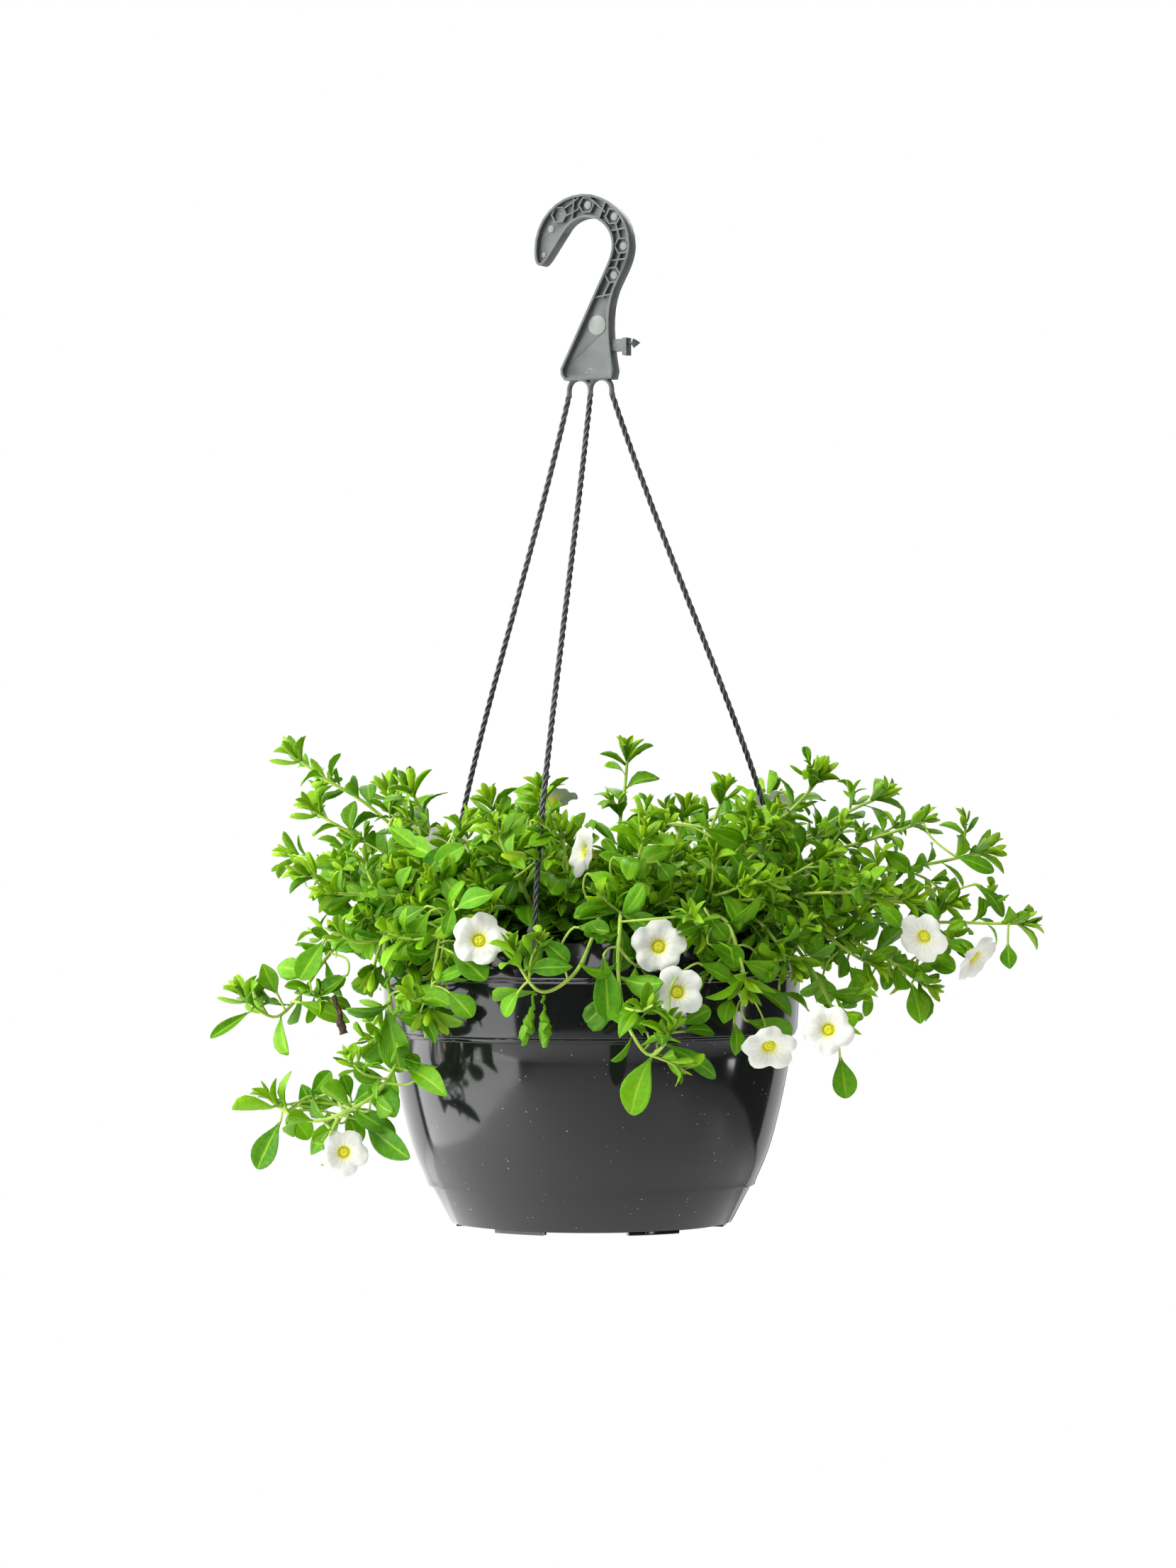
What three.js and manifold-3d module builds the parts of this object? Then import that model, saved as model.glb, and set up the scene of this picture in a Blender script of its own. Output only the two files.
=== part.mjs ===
// White calibrachoa in a hanging pot: a glossy pot with a click-on saucer, a moulded hanger whose three
// twisted strands clip to the rim, potting soil, leafy shoots and trumpet flowers.
// Millimetres, +Z up, -Y is the front. The origin is the hook's seat, where the basket hangs on its bar.
import * as THREE from "three";
import { mergeVertices } from "three/addons/utils/BufferGeometryUtils.js";
import Module from "manifold-3d";

const wasm = await Module();
wasm.setup();

// ---- driving dimensions; heights are above the surface that the saucer's feet can stand on ----
const RIM_TOP_Z = 176;
const RIM_R = 128.6;
const WALL = 1.5;
const SHELF_Z = 162;
const COLLAR_R = 124.4;
const POT_FLOOR_Z = 31;
const SKIRT_Z = 25.2;
const DRAIN_HOLES = 6;
const DRAIN_R = 4;
const DRAIN_RING_R = 58;
const SAUCER_TOP_R = 98.4;
const SAUCER_FOOT_R = 87;
const SAUCER_TOP_Z = 28.6;
const FOOT_HEIGHT = 2;
const FEET = 6;
const FOOT_SPAN = 0.42;
const SOIL_Z = 156;
const SOIL_CROWN = 4;
const ROUND_STEPS = 48;
const GAP = 0.35;

const HOOK_TOP_Z = 631.5;
const SEAT_Z = HOOK_TOP_Z - 14.5;
const HOOK_TURN = -0.47;
const HOOK_DEPTH = 9;
const HOOK_WEB = 2.2;
const HOOK_WALL = 1.5;
const RIB = 1;
const HEX_R = 5.6;
const ROD_SPACING = 14.6;
const ROD_R = 1.7;
const ROD_END_Z = HOOK_TOP_Z - 124;

const STRAND_R = 1.6;
const STRAND_GAP = 1;
const CLIP_R = 125.9;
const CLIP_WIDTH = 10;
const CLIP_THICKNESS = 1.8;
const CLIP_TOP_Z = 187;
const CLIP_BOTTOM_Z = 154;
const CLIP_TURNS = { front: -15, right: 105, left: -135 };

const STEM_R = 1.3;
const LEAF_THICKNESS = 0.7;
const FLOWER_R = 16.5;
const RIM_CLEAR_Z = RIM_TOP_Z + 13;

// ---- materials ----
function finish(color, roughness, metalness = 0) {
  return new THREE.MeshStandardMaterial({ color, roughness, metalness });
}
const MATERIALS = {
  pot: finish("#3c3d3f", 0.2),
  hanger: finish("#4a4d4b", 0.5),
  soil: finish("#3a2a1e", 0.95),
  shoot: finish("#4f9a1c", 0.5),
  flower: finish("#f4f4ea", 0.6),
};

// ---- solids from three.js geometry ----
function solidFrom(geometry) {
  const bare = geometry.clone();
  bare.deleteAttribute("normal");
  bare.deleteAttribute("uv");
  const merged = mergeVertices(bare, 1e-3);
  return new wasm.Manifold(
    new wasm.Mesh({
      numProp: 3,
      vertProperties: merged.attributes.position.array,
      triVerts: new Uint32Array(merged.index.array),
    }),
  );
}

function geometryFrom(solid) {
  const mesh = solid.getMesh();
  const geometry = new THREE.BufferGeometry();
  geometry.setAttribute("position", new THREE.BufferAttribute(new Float32Array(mesh.vertProperties), 3));
  geometry.setIndex(new THREE.BufferAttribute(new Uint32Array(mesh.triVerts), 1));
  geometry.computeVertexNormals();
  return geometry;
}

// A profile of [radius, height] pairs turned about +Z, listed from the axis outwards and up.
function turned(profile, steps = ROUND_STEPS) {
  const points = profile.map(([r, z]) => new THREE.Vector2(r, z));
  return solidFrom(new THREE.LatheGeometry(points, steps).rotateX(Math.PI / 2));
}

// A flat outline in (across, up), extruded symmetrically about the plane Y = 0.
function slab(shape, depth, curveSegments = 8) {
  const geometry = new THREE.ExtrudeGeometry(shape, { depth, bevelEnabled: false, curveSegments });
  return solidFrom(geometry.translate(0, 0, -depth / 2).rotateX(Math.PI / 2));
}

function tube(curve, radius, sides, steps) {
  const section = new THREE.Shape();
  for (let i = 0; i < sides; i++) {
    const angle = (2 * Math.PI * i) / sides;
    const point = [radius * Math.cos(angle), radius * Math.sin(angle)];
    if (i) section.lineTo(...point);
    else section.moveTo(...point);
  }
  return solidFrom(new THREE.ExtrudeGeometry(section, { steps, extrudePath: curve, bevelEnabled: false }));
}

function joined(solids) {
  return wasm.Manifold.union(solids);
}

// The largest separate body of a solid, so that a piece that was trimmed stays one body.
function mainBody(solid) {
  const bodies = solid.decompose();
  return bodies.reduce((best, body) => (body.volume() > best.volume() ? body : best));
}

// ---- pot ----
function potOuter(grow = 0) {
  return [
    [100.6, SKIRT_Z],
    [102.4, 30],
    [106.4, 39],
    [110.9, 51.6],
    [114.7, 66],
    [117.9, 80],
    [120.6, 94],
    [124.2, 118],
    [126.2, 121],
    [RIM_R, 150],
    [RIM_R, SHELF_Z],
    [COLLAR_R, SHELF_Z],
    [COLLAR_R, RIM_TOP_Z],
  ].map(([r, z]) => [r + grow, z]);
}

function makePot() {
  const outer = potOuter();
  const inner = outer
    .slice(1)
    .reverse()
    .map(([r, z]) => [r - WALL, z === SHELF_Z ? z - WALL : Math.max(z, POT_FLOOR_Z)]);
  const underside = [[0, POT_FLOOR_Z - WALL], [100.6 - WALL, POT_FLOOR_Z - WALL], [100.6 - WALL, SKIRT_Z]];
  const shell = turned([...underside, ...outer, ...inner, [0, POT_FLOOR_Z]]);
  const drains = [];
  for (let i = 0; i < DRAIN_HOLES; i++) {
    const angle = (2 * Math.PI * (i + 0.5)) / DRAIN_HOLES;
    const hole = new THREE.CylinderGeometry(DRAIN_R, DRAIN_R, 10, 10).rotateX(Math.PI / 2);
    hole.translate(DRAIN_RING_R * Math.cos(angle), DRAIN_RING_R * Math.sin(angle), POT_FLOOR_Z);
    drains.push(solidFrom(hole));
  }
  const slots = Object.values(CLIP_TURNS).map((turn) => clipBlade(turn, 0.5));
  return shell.subtract(joined([...drains, ...slots]));
}

// The space that the pot fills, with a margin all round, for trimming the leaves that touch it.
function potKeepOut() {
  const outer = potOuter(GAP);
  const inner = outer
    .slice(1)
    .reverse()
    .map(([r, z]) => [r - WALL - 2 * GAP, z === SHELF_Z ? z - WALL - GAP : Math.max(z, POT_FLOOR_Z)]);
  const top = outer.length - 1;
  outer[top][1] += GAP;
  inner[0][1] += GAP;
  return turned([[0, POT_FLOOR_Z - WALL], ...outer, ...inner, [0, POT_FLOOR_Z]]);
}

// ---- saucer, clipped inside the pot's skirt ----
function makeSaucer() {
  const floorTop = FOOT_HEIGHT + 2;
  const dish = turned([
    [0, FOOT_HEIGHT],
    [SAUCER_FOOT_R - 3, FOOT_HEIGHT],
    [SAUCER_FOOT_R, FOOT_HEIGHT + 1.8],
    [SAUCER_TOP_R, SKIRT_Z - 0.4],
    [SAUCER_TOP_R, SAUCER_TOP_Z],
    [SAUCER_TOP_R - WALL, SAUCER_TOP_Z],
    [SAUCER_TOP_R - WALL, SKIRT_Z - 0.4],
    [SAUCER_FOOT_R - WALL, floorTop + 1],
    [SAUCER_FOOT_R - 4, floorTop],
    [0, floorTop],
  ]);
  const feet = [];
  for (let i = 0; i < FEET; i++) {
    const turn = (2 * Math.PI * i) / FEET - Math.PI / 2 - 0.14;
    const arc = new THREE.Shape();
    arc.absarc(0, 0, SAUCER_FOOT_R - 4, turn - FOOT_SPAN / 2, turn + FOOT_SPAN / 2, false);
    arc.absarc(0, 0, SAUCER_FOOT_R - 10, turn + FOOT_SPAN / 2, turn - FOOT_SPAN / 2, true);
    const options = { depth: FOOT_HEIGHT + 1, bevelEnabled: false, curveSegments: 4 };
    feet.push(solidFrom(new THREE.ExtrudeGeometry(arc, options)));
  }
  return joined([dish, ...feet]);
}

// ---- hanger ----
function onRing(turn, radius, z) {
  const angle = THREE.MathUtils.degToRad(turn);
  return new THREE.Vector3(radius * Math.sin(angle), -radius * Math.cos(angle), z);
}

function hookOutline() {
  const shape = new THREE.Shape();
  shape.moveTo(16.6, -114);
  shape.lineTo(17.8, -109);
  shape.bezierCurveTo(14.6, -92, 12.4, -74, 18.2, -60);
  shape.bezierCurveTo(22.5, -51, 28, -44, 28.8, -34.5);
  shape.absarc(-3.8, -32.7, 32.7, 0, Math.PI, false);
  shape.bezierCurveTo(-36.6, -38.5, -35.6, -42.6, -32.6, -42.6);
  shape.bezierCurveTo(-29.5, -42.6, -27, -37.5, -16.4, -23.4);
  shape.absarc(-1, -32.3, 17.8, (150 * Math.PI) / 180, (-20 * Math.PI) / 180, true);
  shape.bezierCurveTo(15.2, -40.5, 13.8, -43.3, 12.4, -46);
  shape.lineTo(-18.5, -106.7);
  shape.lineTo(-18.2, -110.5);
  shape.lineTo(-15.6, -114);
  return shape;
}

// The outline moved inwards by a distance, for the pocket that leaves the hook's edge walls standing.
function inset(shape, distance) {
  const points = shape.getPoints(8).filter((p, i, all) => p.distanceTo(all[(i + 1) % all.length]) > 0.05);
  const side = THREE.ShapeUtils.area(points) > 0 ? 1 : -1;
  const normalOf = (a, b) => new THREE.Vector2(a.y - b.y, b.x - a.x).normalize().multiplyScalar(side);
  return new THREE.Shape(
    points.map((p, i) => {
      const before = normalOf(points.at(i - 1), p);
      const after = normalOf(p, points[(i + 1) % points.length]);
      const middle = before.clone().add(after).normalize();
      return p.clone().addScaledVector(middle, distance / Math.max(0.5, middle.dot(after)));
    }),
  );
}

function hexRing(u, z) {
  const corners = (radius) => {
    const points = [];
    for (let i = 0; i < 6; i++) {
      const angle = (Math.PI * i) / 3;
      points.push(new THREE.Vector2(u + radius * Math.cos(angle), z + radius * Math.sin(angle)));
    }
    return points;
  };
  const ring = new THREE.Shape(corners(HEX_R));
  ring.holes.push(new THREE.Path(corners(HEX_R - RIB)));
  return ring;
}

function bar(u0, z0, u1, z1) {
  const along = new THREE.Vector2(u1 - u0, z1 - z0).normalize().multiplyScalar(RIB / 2);
  return new THREE.Shape([
    new THREE.Vector2(u0 - along.y, z0 + along.x),
    new THREE.Vector2(u0 + along.y, z0 - along.x),
    new THREE.Vector2(u1 + along.y, z1 - along.x),
    new THREE.Vector2(u1 - along.y, z1 + along.x),
  ]);
}

function disc(u, z, radius) {
  const shape = new THREE.Shape();
  shape.absarc(u, z, radius, 0, 2 * Math.PI, false);
  return shape;
}

// The label peg on the hook's right edge: a stub, a flange and an arrow-headed pin.
function labelPeg() {
  const stub = new THREE.BoxGeometry(8, 4, 7.4).translate(19.5, 0, -93.4);
  const flange = new THREE.BoxGeometry(2.8, 7, 10.6).translate(24.8, 0, -94.4);
  const pin = new THREE.CylinderGeometry(1, 1, 6, 8).rotateZ(-Math.PI / 2).translate(28.2, 0, -92.5);
  const head = new THREE.ConeGeometry(3, 4.4, 8).rotateZ(-Math.PI / 2).translate(32, 0, -92.5);
  return joined([stub, flange, pin, head].map(solidFrom));
}

// One of the two arches at the plate's foot, whose legs carry on as the strands.
function rodArch(middleU) {
  const radius = ROD_SPACING / 2;
  const springZ = ROD_END_Z - HOOK_TOP_Z + 4;
  const arch = new THREE.CurvePath();
  const at = (u, z) => new THREE.Vector3(u, 0, z);
  const points = [at(middleU - radius, springZ - 4)];
  for (let i = 0; i <= 8; i++) {
    const angle = Math.PI * (1 - i / 8);
    points.push(at(middleU + radius * Math.cos(angle), springZ + radius * Math.sin(angle)));
  }
  points.push(at(middleU + radius, springZ - 4));
  for (let i = 1; i < points.length; i++) arch.add(new THREE.LineCurve3(points[i - 1], points[i]));
  return tube(new THREE.CatmullRomCurve3(points), ROD_R, 8, 14);
}

function makeHook() {
  const outline = hookOutline();
  const pocket = inset(outline, HOOK_WALL);
  const body = slab(outline, HOOK_DEPTH);
  const pocketDepth = (HOOK_DEPTH - HOOK_WEB) / 2;
  const recess = slab(pocket, pocketDepth + 1);
  const reach = (HOOK_WEB + pocketDepth + 1) / 2;
  const shell = body.subtract(joined([recess.translate([0, -reach, 0]), recess.translate([0, reach, 0])]));
  const cells = [[-19.9, -11.8], [-1, -6.8], [17.2, -14.7], [23.4, -33], [17, -50.6]];
  const ribs = [
    ...cells.map(([u, z]) => hexRing(u, z)),
    bar(-16, -8, -6, -2),
    bar(-15.5, -13, -6, -9),
    bar(-11, -18, -9.5, -1),
    bar(3, -4, 12, -12),
    bar(7, -17, 13, -3),
    bar(19, -19, 22, -29),
    bar(12, -24, 29, -22),
    bar(22, -38, 19, -46),
    bar(11, -42, 28, -41),
    bar(15, -55, 10, -64),
    bar(3, -64, 18, -62),
  ];
  const ribBlock = joined(ribs.map((shape) => slab(shape, HOOK_DEPTH - 1.4)));
  const discs = joined([
    ...cells.slice(1).map(([u, z]) => slab(disc(u, z, 2.5), HOOK_WEB + 1.6)),
    slab(disc(-26.6, -20, 2.2), HOOK_WEB + 0.8),
    slab(disc(-31.6, -36, 1.6), HOOK_WEB + 0.8),
    slab(disc(5.2, -80.6, 6), HOOK_WEB + 0.8, 12),
  ]);
  const inside = slab(inset(outline, 0.4), HOOK_DEPTH);
  const arches = joined([rodArch(-ROD_SPACING / 2), rodArch(ROD_SPACING / 2)]);
  return joined([shell, joined([ribBlock, discs]).intersect(inside), labelPeg(), arches])
    .rotate([0, 0, THREE.MathUtils.radToDeg(HOOK_TURN)])
    .translate([0, 0, HOOK_TOP_Z]);
}

// The flat blade that stands against the collar and passes down through the slot in the shelf.
function clipBlade(turn, grow = 0) {
  const blade = new THREE.Shape();
  const half = CLIP_WIDTH / 2 + grow;
  blade.moveTo(-half, CLIP_BOTTOM_Z);
  blade.lineTo(half, CLIP_BOTTOM_Z);
  blade.lineTo(half, CLIP_TOP_Z - 8);
  blade.quadraticCurveTo(half, CLIP_TOP_Z - 1, 0, CLIP_TOP_Z);
  blade.quadraticCurveTo(-half, CLIP_TOP_Z - 1, -half, CLIP_TOP_Z - 8);
  const foot = onRing(turn, CLIP_R, 0);
  return slab(blade, CLIP_THICKNESS + 2 * grow, 3)
    .rotate([0, 0, turn])
    .translate([foot.x, foot.y, 0]);
}

// A moulded strand from a hook rod to its clip: it leaves the clip upright and leans in to the hook.
function makeStrand(side, grow = 0) {
  const rodU = { front: 0, right: ROD_SPACING, left: -ROD_SPACING }[side];
  const top = new THREE.Vector3(rodU * Math.cos(HOOK_TURN), rodU * Math.sin(HOOK_TURN), ROD_END_Z - STRAND_GAP);
  const turn = CLIP_TURNS[side];
  const clipTop = onRing(turn, CLIP_R, CLIP_TOP_Z - 4);
  const lean = top.clone().lerp(clipTop, 0.4);
  const upright = clipTop.clone().setZ(CLIP_TOP_Z + 66);
  const route = new THREE.CubicBezierCurve3(top, lean, upright, clipTop);
  const barb = new THREE.BoxGeometry(CLIP_WIDTH - 2, 1.6, 2).translate(0, 1.2, CLIP_BOTTOM_Z + 1);
  const foot = onRing(turn, CLIP_R, 0);
  const hooked = solidFrom(barb)
    .rotate([0, 0, turn])
    .translate([foot.x, foot.y, 0]);
  return joined([tube(route, STRAND_R + grow, 8, 14), clipBlade(turn, grow), hooked]);
}

// ---- plant ----
// Where each shoot's tip stands, [x, y, z], as the plant has grown: tall ones, then those that trail. A trailing shoot
// that wanders has the points along its stem instead.
const RISING_TIPS = [
  [-183, -22, 288],
  [-174, 12, 255],
  [-112, -44, 270],
  [-128, 34, 268],
  [-174, -52, 216],
  [-158, -104, 206],
  [-86, -66, 238],
  [-62, -16, 262],
  [-30, -48, 268],
  [23, -12, 291],
  [44, -82, 247],
  [60, 4, 256],
  [84, 34, 266],
  [143, -10, 277],
  [112, -36, 254],
  [182, 22, 264],
  [206, -12, 248],
  [246, 8, 228],
  [266, -32, 184],
  [174, -108, 207],
  [106, -112, 204],
  [18, -112, 206],
  [-40, 62, 256],
];
const TRAILING_TIPS = [
  [
    [-80, -19, 174], [-109, -26, 193], [-134, -33, 190], [-158, -40, 165], [-178, -46, 140],
    [-191, -49, 130], [-201, -52, 135], [-212, -54, 146],
  ],
  [
    [-80, -27, 174], [-106, -44, 193], [-121, -64, 182], [-121, -84, 144], [-115, -98, 110],
    [-126, -106, 87], [-143, -108, 77], [-164, -102, 70], [-181, -96, 74], [-192, -92, 83],
  ],
  [
    [4, -74, 174], [4, -102, 191], [3, -132, 184], [-9, -141, 158], [-28, -144, 148],
    [-41, -148, 162], [-45, -150, 177],
  ],
  [
    [16, -76, 174], [17, -112, 193], [17, -140, 186], [16, -150, 156], [23, -155, 126],
    [34, -158, 113], [43, -162, 120], [46, -164, 133],
  ],
  [92, -132, 148],
  [150, -112, 126],
  [204, -62, 146],
  [-94, -116, 130],
];
const BACK_TIPS = [
  [30, 208, 196],
  [58, 226, 262],
  [86, 190, 150],
  [108, 214, 238],
  [133, 200, 120],
  [152, 218, 226],
];

function backTip([bearing, reach, z]) {
  const angle = THREE.MathUtils.degToRad(bearing);
  return [reach * Math.cos(angle), reach * Math.sin(angle), z];
}

const TIPS = [...RISING_TIPS, ...TRAILING_TIPS, ...BACK_TIPS.map(backTip)];

// A stem's line: up out of the soil, over the rim if it goes past it, and on to its tip.
function stemCurve(tip) {
  if (Array.isArray(tip[0])) {
    const route = [[tip[0][0], tip[0][1], SOIL_Z - 5], ...tip].map((spot) => new THREE.Vector3(...spot));
    return new THREE.CatmullRomCurve3(route, false, "centripetal");
  }
  const [x, y, z] = tip;
  const reach = Math.hypot(x, y);
  const out = new THREE.Vector3(x / reach, y / reach, 0);
  const at = (radius, height) => out.clone().multiplyScalar(radius).setZ(height);
  const rootR = Math.min(0.5 * reach, 84);
  const points = [at(rootR, SOIL_Z - 5), at(rootR + 2, SOIL_Z + 18)];
  if (z < RIM_CLEAR_Z) {
    points.push(at(112, RIM_CLEAR_Z + 3), at(138, RIM_CLEAR_Z - 1));
    if (z < RIM_CLEAR_Z - 30) points.push(at(0.45 * 140 + 0.55 * reach, 0.5 * (RIM_CLEAR_Z + z)));
  } else if (reach > 130) {
    points.push(at(0.5 * rootR + 62, Math.max(RIM_CLEAR_Z + 6, 0.5 * (SOIL_Z + z) + 6)));
  } else {
    points.push(at(0.5 * (rootR + reach), 0.5 * (SOIL_Z + z) + 4));
  }
  points.push(new THREE.Vector3(x, y, z));
  return new THREE.CatmullRomCurve3(points, false, "centripetal");
}

// A thin kite-shaped leaf from its base along a direction, as a closed solid.
function leaf(base, direction, length, width, grow) {
  const up = new THREE.Vector3(0, 0, 1);
  const side = direction.clone().cross(up);
  if (side.length() < 0.2) side.set(1, 0, 0);
  side.normalize();
  const face = side.clone().cross(direction).normalize();
  const half = LEAF_THICKNESS / 2 + grow;
  const point = (along, across, lift) =>
    base.clone().addScaledVector(direction, along).addScaledVector(side, across).addScaledVector(face, lift);
  const corners = [
    point(-1.2, 0, 0),
    point(0.58 * length, width / 2 + grow, 0),
    point(length + grow, 0, -0.12 * length),
    point(0.58 * length, -width / 2 - grow, 0),
    point(0.5 * length, 0, half + 0.4),
    point(0.5 * length, 0, -half),
  ];
  const faces = [0, 4, 3, 3, 4, 2, 2, 4, 1, 1, 4, 0, 3, 5, 0, 2, 5, 3, 1, 5, 2, 0, 5, 1];
  const geometry = new THREE.BufferGeometry();
  geometry.setAttribute("position", new THREE.Float32BufferAttribute(corners.flatMap((p) => p.toArray()), 3));
  geometry.setIndex(faces);
  return solidFrom(geometry);
}

function shootLeaves(curve, index, grow = 0) {
  const length = curve.getLength();
  const pairs = Math.round(THREE.MathUtils.clamp(length / 26, 3, 6));
  const leaves = [];
  for (let i = 0; i < pairs; i++) {
    const share = 0.42 + (0.56 * i) / (pairs - 1);
    const point = curve.getPointAt(share);
    const along = curve.getTangentAt(share);
    const across = along.clone().cross(new THREE.Vector3(0.1, 0.2, 1)).normalize();
    const over = across.clone().cross(along).normalize();
    const turn = i * 1.45 + index * 0.9;
    const size = 24 - 11 * share;
    for (const side of [0, Math.PI]) {
      const sideways = across
        .clone()
        .multiplyScalar(Math.cos(turn + side))
        .addScaledVector(over, Math.sin(turn + side));
      const direction = sideways.addScaledVector(along, 0.3 + 0.5 * share).normalize();
      leaves.push(leaf(point, direction, size, 0.4 * size, grow));
    }
  }
  return leaves;
}

// Each flower's mouth, [x, y, z], and where it faces, [x, y, z].
const FLOWERS = [
  { mouth: [-65, -136, 179], faces: [0.1, -1, 0.25] },
  { mouth: [40, -139, 175], faces: [0.05, -1, 0.1] },
  { mouth: [51, -151, 149], faces: [0.15, -1, 0.15] },
  { mouth: [-146, -100, 51], faces: [0.1, -1, -0.1] },
  { mouth: [105, -136, 114], faces: [0.1, -0.8, -0.6] },
  { mouth: [139, -138, 126], faces: [-0.1, -1, 0.05] },
  { mouth: [197, -92, 178], faces: [-0.45, -0.8, -0.3] },
  { mouth: [233, -58, 164], faces: [0.7, -0.5, -0.6] },
  { mouth: [-6, -92, 230], faces: [-1, -0.45, 0.2] },
  { mouth: [-24, 10, 263], faces: [0, 0.4, 1] },
  { mouth: [-86, -44, 232], faces: [0.3, -0.7, 0.6] },
  { mouth: [118, 60, 258], faces: [0.2, 0.6, 1] },
  { mouth: [-60, 152, 196], faces: [-0.3, 1, 0.3] },
  { mouth: [88, 158, 186], faces: [0.3, 1, 0.2] },
];
const FLOWER_DEPTH = 17;

function makeFlower({ mouth, faces }, grow = 0) {
  const trumpet = turned(
    [
      [0, -FLOWER_DEPTH - grow],
      [1.5 + grow, -FLOWER_DEPTH],
      [2.6 + grow, -7],
      [FLOWER_R + grow, -1.4 - grow],
      [FLOWER_R + grow, grow],
      [3.4, -3 + grow],
      [0, -8],
    ],
    10,
  );
  const turn = new THREE.Quaternion().setFromUnitVectors(
    new THREE.Vector3(0, 0, 1),
    new THREE.Vector3(...faces).normalize(),
  );
  const place = new THREE.Matrix4().compose(new THREE.Vector3(...mouth), turn, new THREE.Vector3(1, 1, 1));
  return trumpet.transform(place.elements);
}

function touches(one, other) {
  return one.intersect(other).volume() > 1e-4;
}

// Shoots are grown in turn: a leaf that would touch a stem, a flower, the holder or an earlier leaf is left off.
function growShoots(strands) {
  const curves = TIPS.map(stemCurve);
  const stems = curves.map((curve) => tube(curve, STEM_R, 5, 7));
  const stemSpaces = curves.map((curve) => tube(curve, STEM_R + GAP, 5, 7));
  const fixed = joined([potKeepOut(), ...strands, ...FLOWERS.map((flower) => makeFlower(flower, GAP))]);
  let taken = fixed;
  return curves.map((curve, i) => {
    const others = joined([taken, ...stemSpaces.filter((_, j) => j !== i)]);
    const spaces = shootLeaves(curve, i, GAP);
    const leaves = shootLeaves(curve, i).filter((_, k) => !touches(spaces[k], others));
    taken = joined([taken, ...spaces.filter((space) => !touches(space, others))]);
    return mainBody(joined([stems[i].subtract(fixed), ...leaves]));
  });
}

// ---- soil, with a hole where each stem comes up ----
function makeSoil() {
  const side = potOuter()
    .filter(([, z]) => z < SOIL_Z - 3)
    .slice(1)
    .map(([r, z]) => [r - WALL - GAP, Math.max(z, POT_FLOOR_Z + GAP)]);
  const edge = [[RIM_R - WALL - 1.8, SOIL_Z - 5], [90, SOIL_Z]];
  const heap = turned([[0, POT_FLOOR_Z + GAP], ...side, ...edge, [0, SOIL_Z + SOIL_CROWN]]);
  const holes = TIPS.map((tip) => tube(stemCurve(tip), STEM_R + GAP, 5, 7));
  const clips = ["front", "right", "left"].map((name) => makeStrand(name, 1));
  return mainBody(heap.subtract(joined([...holes, ...clips])));
}

// ---- assembly ----
function piece(name, solid, material) {
  const mesh = new THREE.Mesh(geometryFrom(solid), MATERIALS[material]);
  mesh.name = name;
  return mesh;
}

const holder = new THREE.Group();
holder.add(piece("pot", makePot(), "pot"));
holder.add(piece("saucer", makeSaucer(), "pot"));
holder.add(piece("hanger_hook", makeHook(), "hanger"));
for (const side of ["front", "right", "left"]) {
  holder.add(piece(`hanger_strand_${side}`, makeStrand(side), "hanger"));
}

const planting = new THREE.Group();
planting.add(piece("soil", makeSoil(), "soil"));
const number = (i) => String(i + 1).padStart(2, "0");
growShoots(["front", "right", "left"].map((side) => makeStrand(side, GAP))).forEach((shoot, i) => {
  planting.add(piece(`shoot_${number(i)}`, shoot, "shoot"));
});
FLOWERS.forEach((flower, i) => {
  planting.add(piece(`flower_${number(i)}`, makeFlower(flower), "flower"));
});

const basket = new THREE.Group();
basket.add(holder, planting);
basket.position.z = -SEAT_Z;

export default basket;
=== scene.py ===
# White calibrachoa in a glossy hanging pot with a moulded hook hanger: the visual model, materials and studio.
# Sizes in the lists and constants are millimetres above the saucer's feet; place() turns them into the frame.
import math
import random

import bpy
from mathutils import Matrix, Vector, noise


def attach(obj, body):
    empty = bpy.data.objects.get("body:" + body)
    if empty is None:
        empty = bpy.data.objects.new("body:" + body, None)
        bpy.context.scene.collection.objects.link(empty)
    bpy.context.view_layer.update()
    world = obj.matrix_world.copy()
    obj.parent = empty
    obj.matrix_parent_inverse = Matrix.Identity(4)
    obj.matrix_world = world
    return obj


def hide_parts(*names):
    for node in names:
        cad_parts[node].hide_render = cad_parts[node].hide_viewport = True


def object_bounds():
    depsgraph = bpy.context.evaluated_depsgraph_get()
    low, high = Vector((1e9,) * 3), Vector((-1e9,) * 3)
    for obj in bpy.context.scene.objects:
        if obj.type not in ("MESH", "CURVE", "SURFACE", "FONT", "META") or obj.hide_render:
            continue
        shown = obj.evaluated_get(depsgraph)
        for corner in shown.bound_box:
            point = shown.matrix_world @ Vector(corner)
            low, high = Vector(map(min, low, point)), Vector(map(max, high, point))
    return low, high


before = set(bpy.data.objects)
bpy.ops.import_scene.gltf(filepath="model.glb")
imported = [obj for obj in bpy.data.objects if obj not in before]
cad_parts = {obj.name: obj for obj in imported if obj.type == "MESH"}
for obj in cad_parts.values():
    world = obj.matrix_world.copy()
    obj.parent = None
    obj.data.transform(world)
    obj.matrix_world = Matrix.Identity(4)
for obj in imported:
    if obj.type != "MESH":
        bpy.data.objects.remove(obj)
CAD_LOW, CAD_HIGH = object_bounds()

# noise_vector is offset by the clock unless a seed is set
noise.seed_set(11)

MM = 0.001
SEAT_HEIGHT = 617.0


def place(x, y, z):
    return Vector((x, y, z - SEAT_HEIGHT)) * MM


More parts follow.
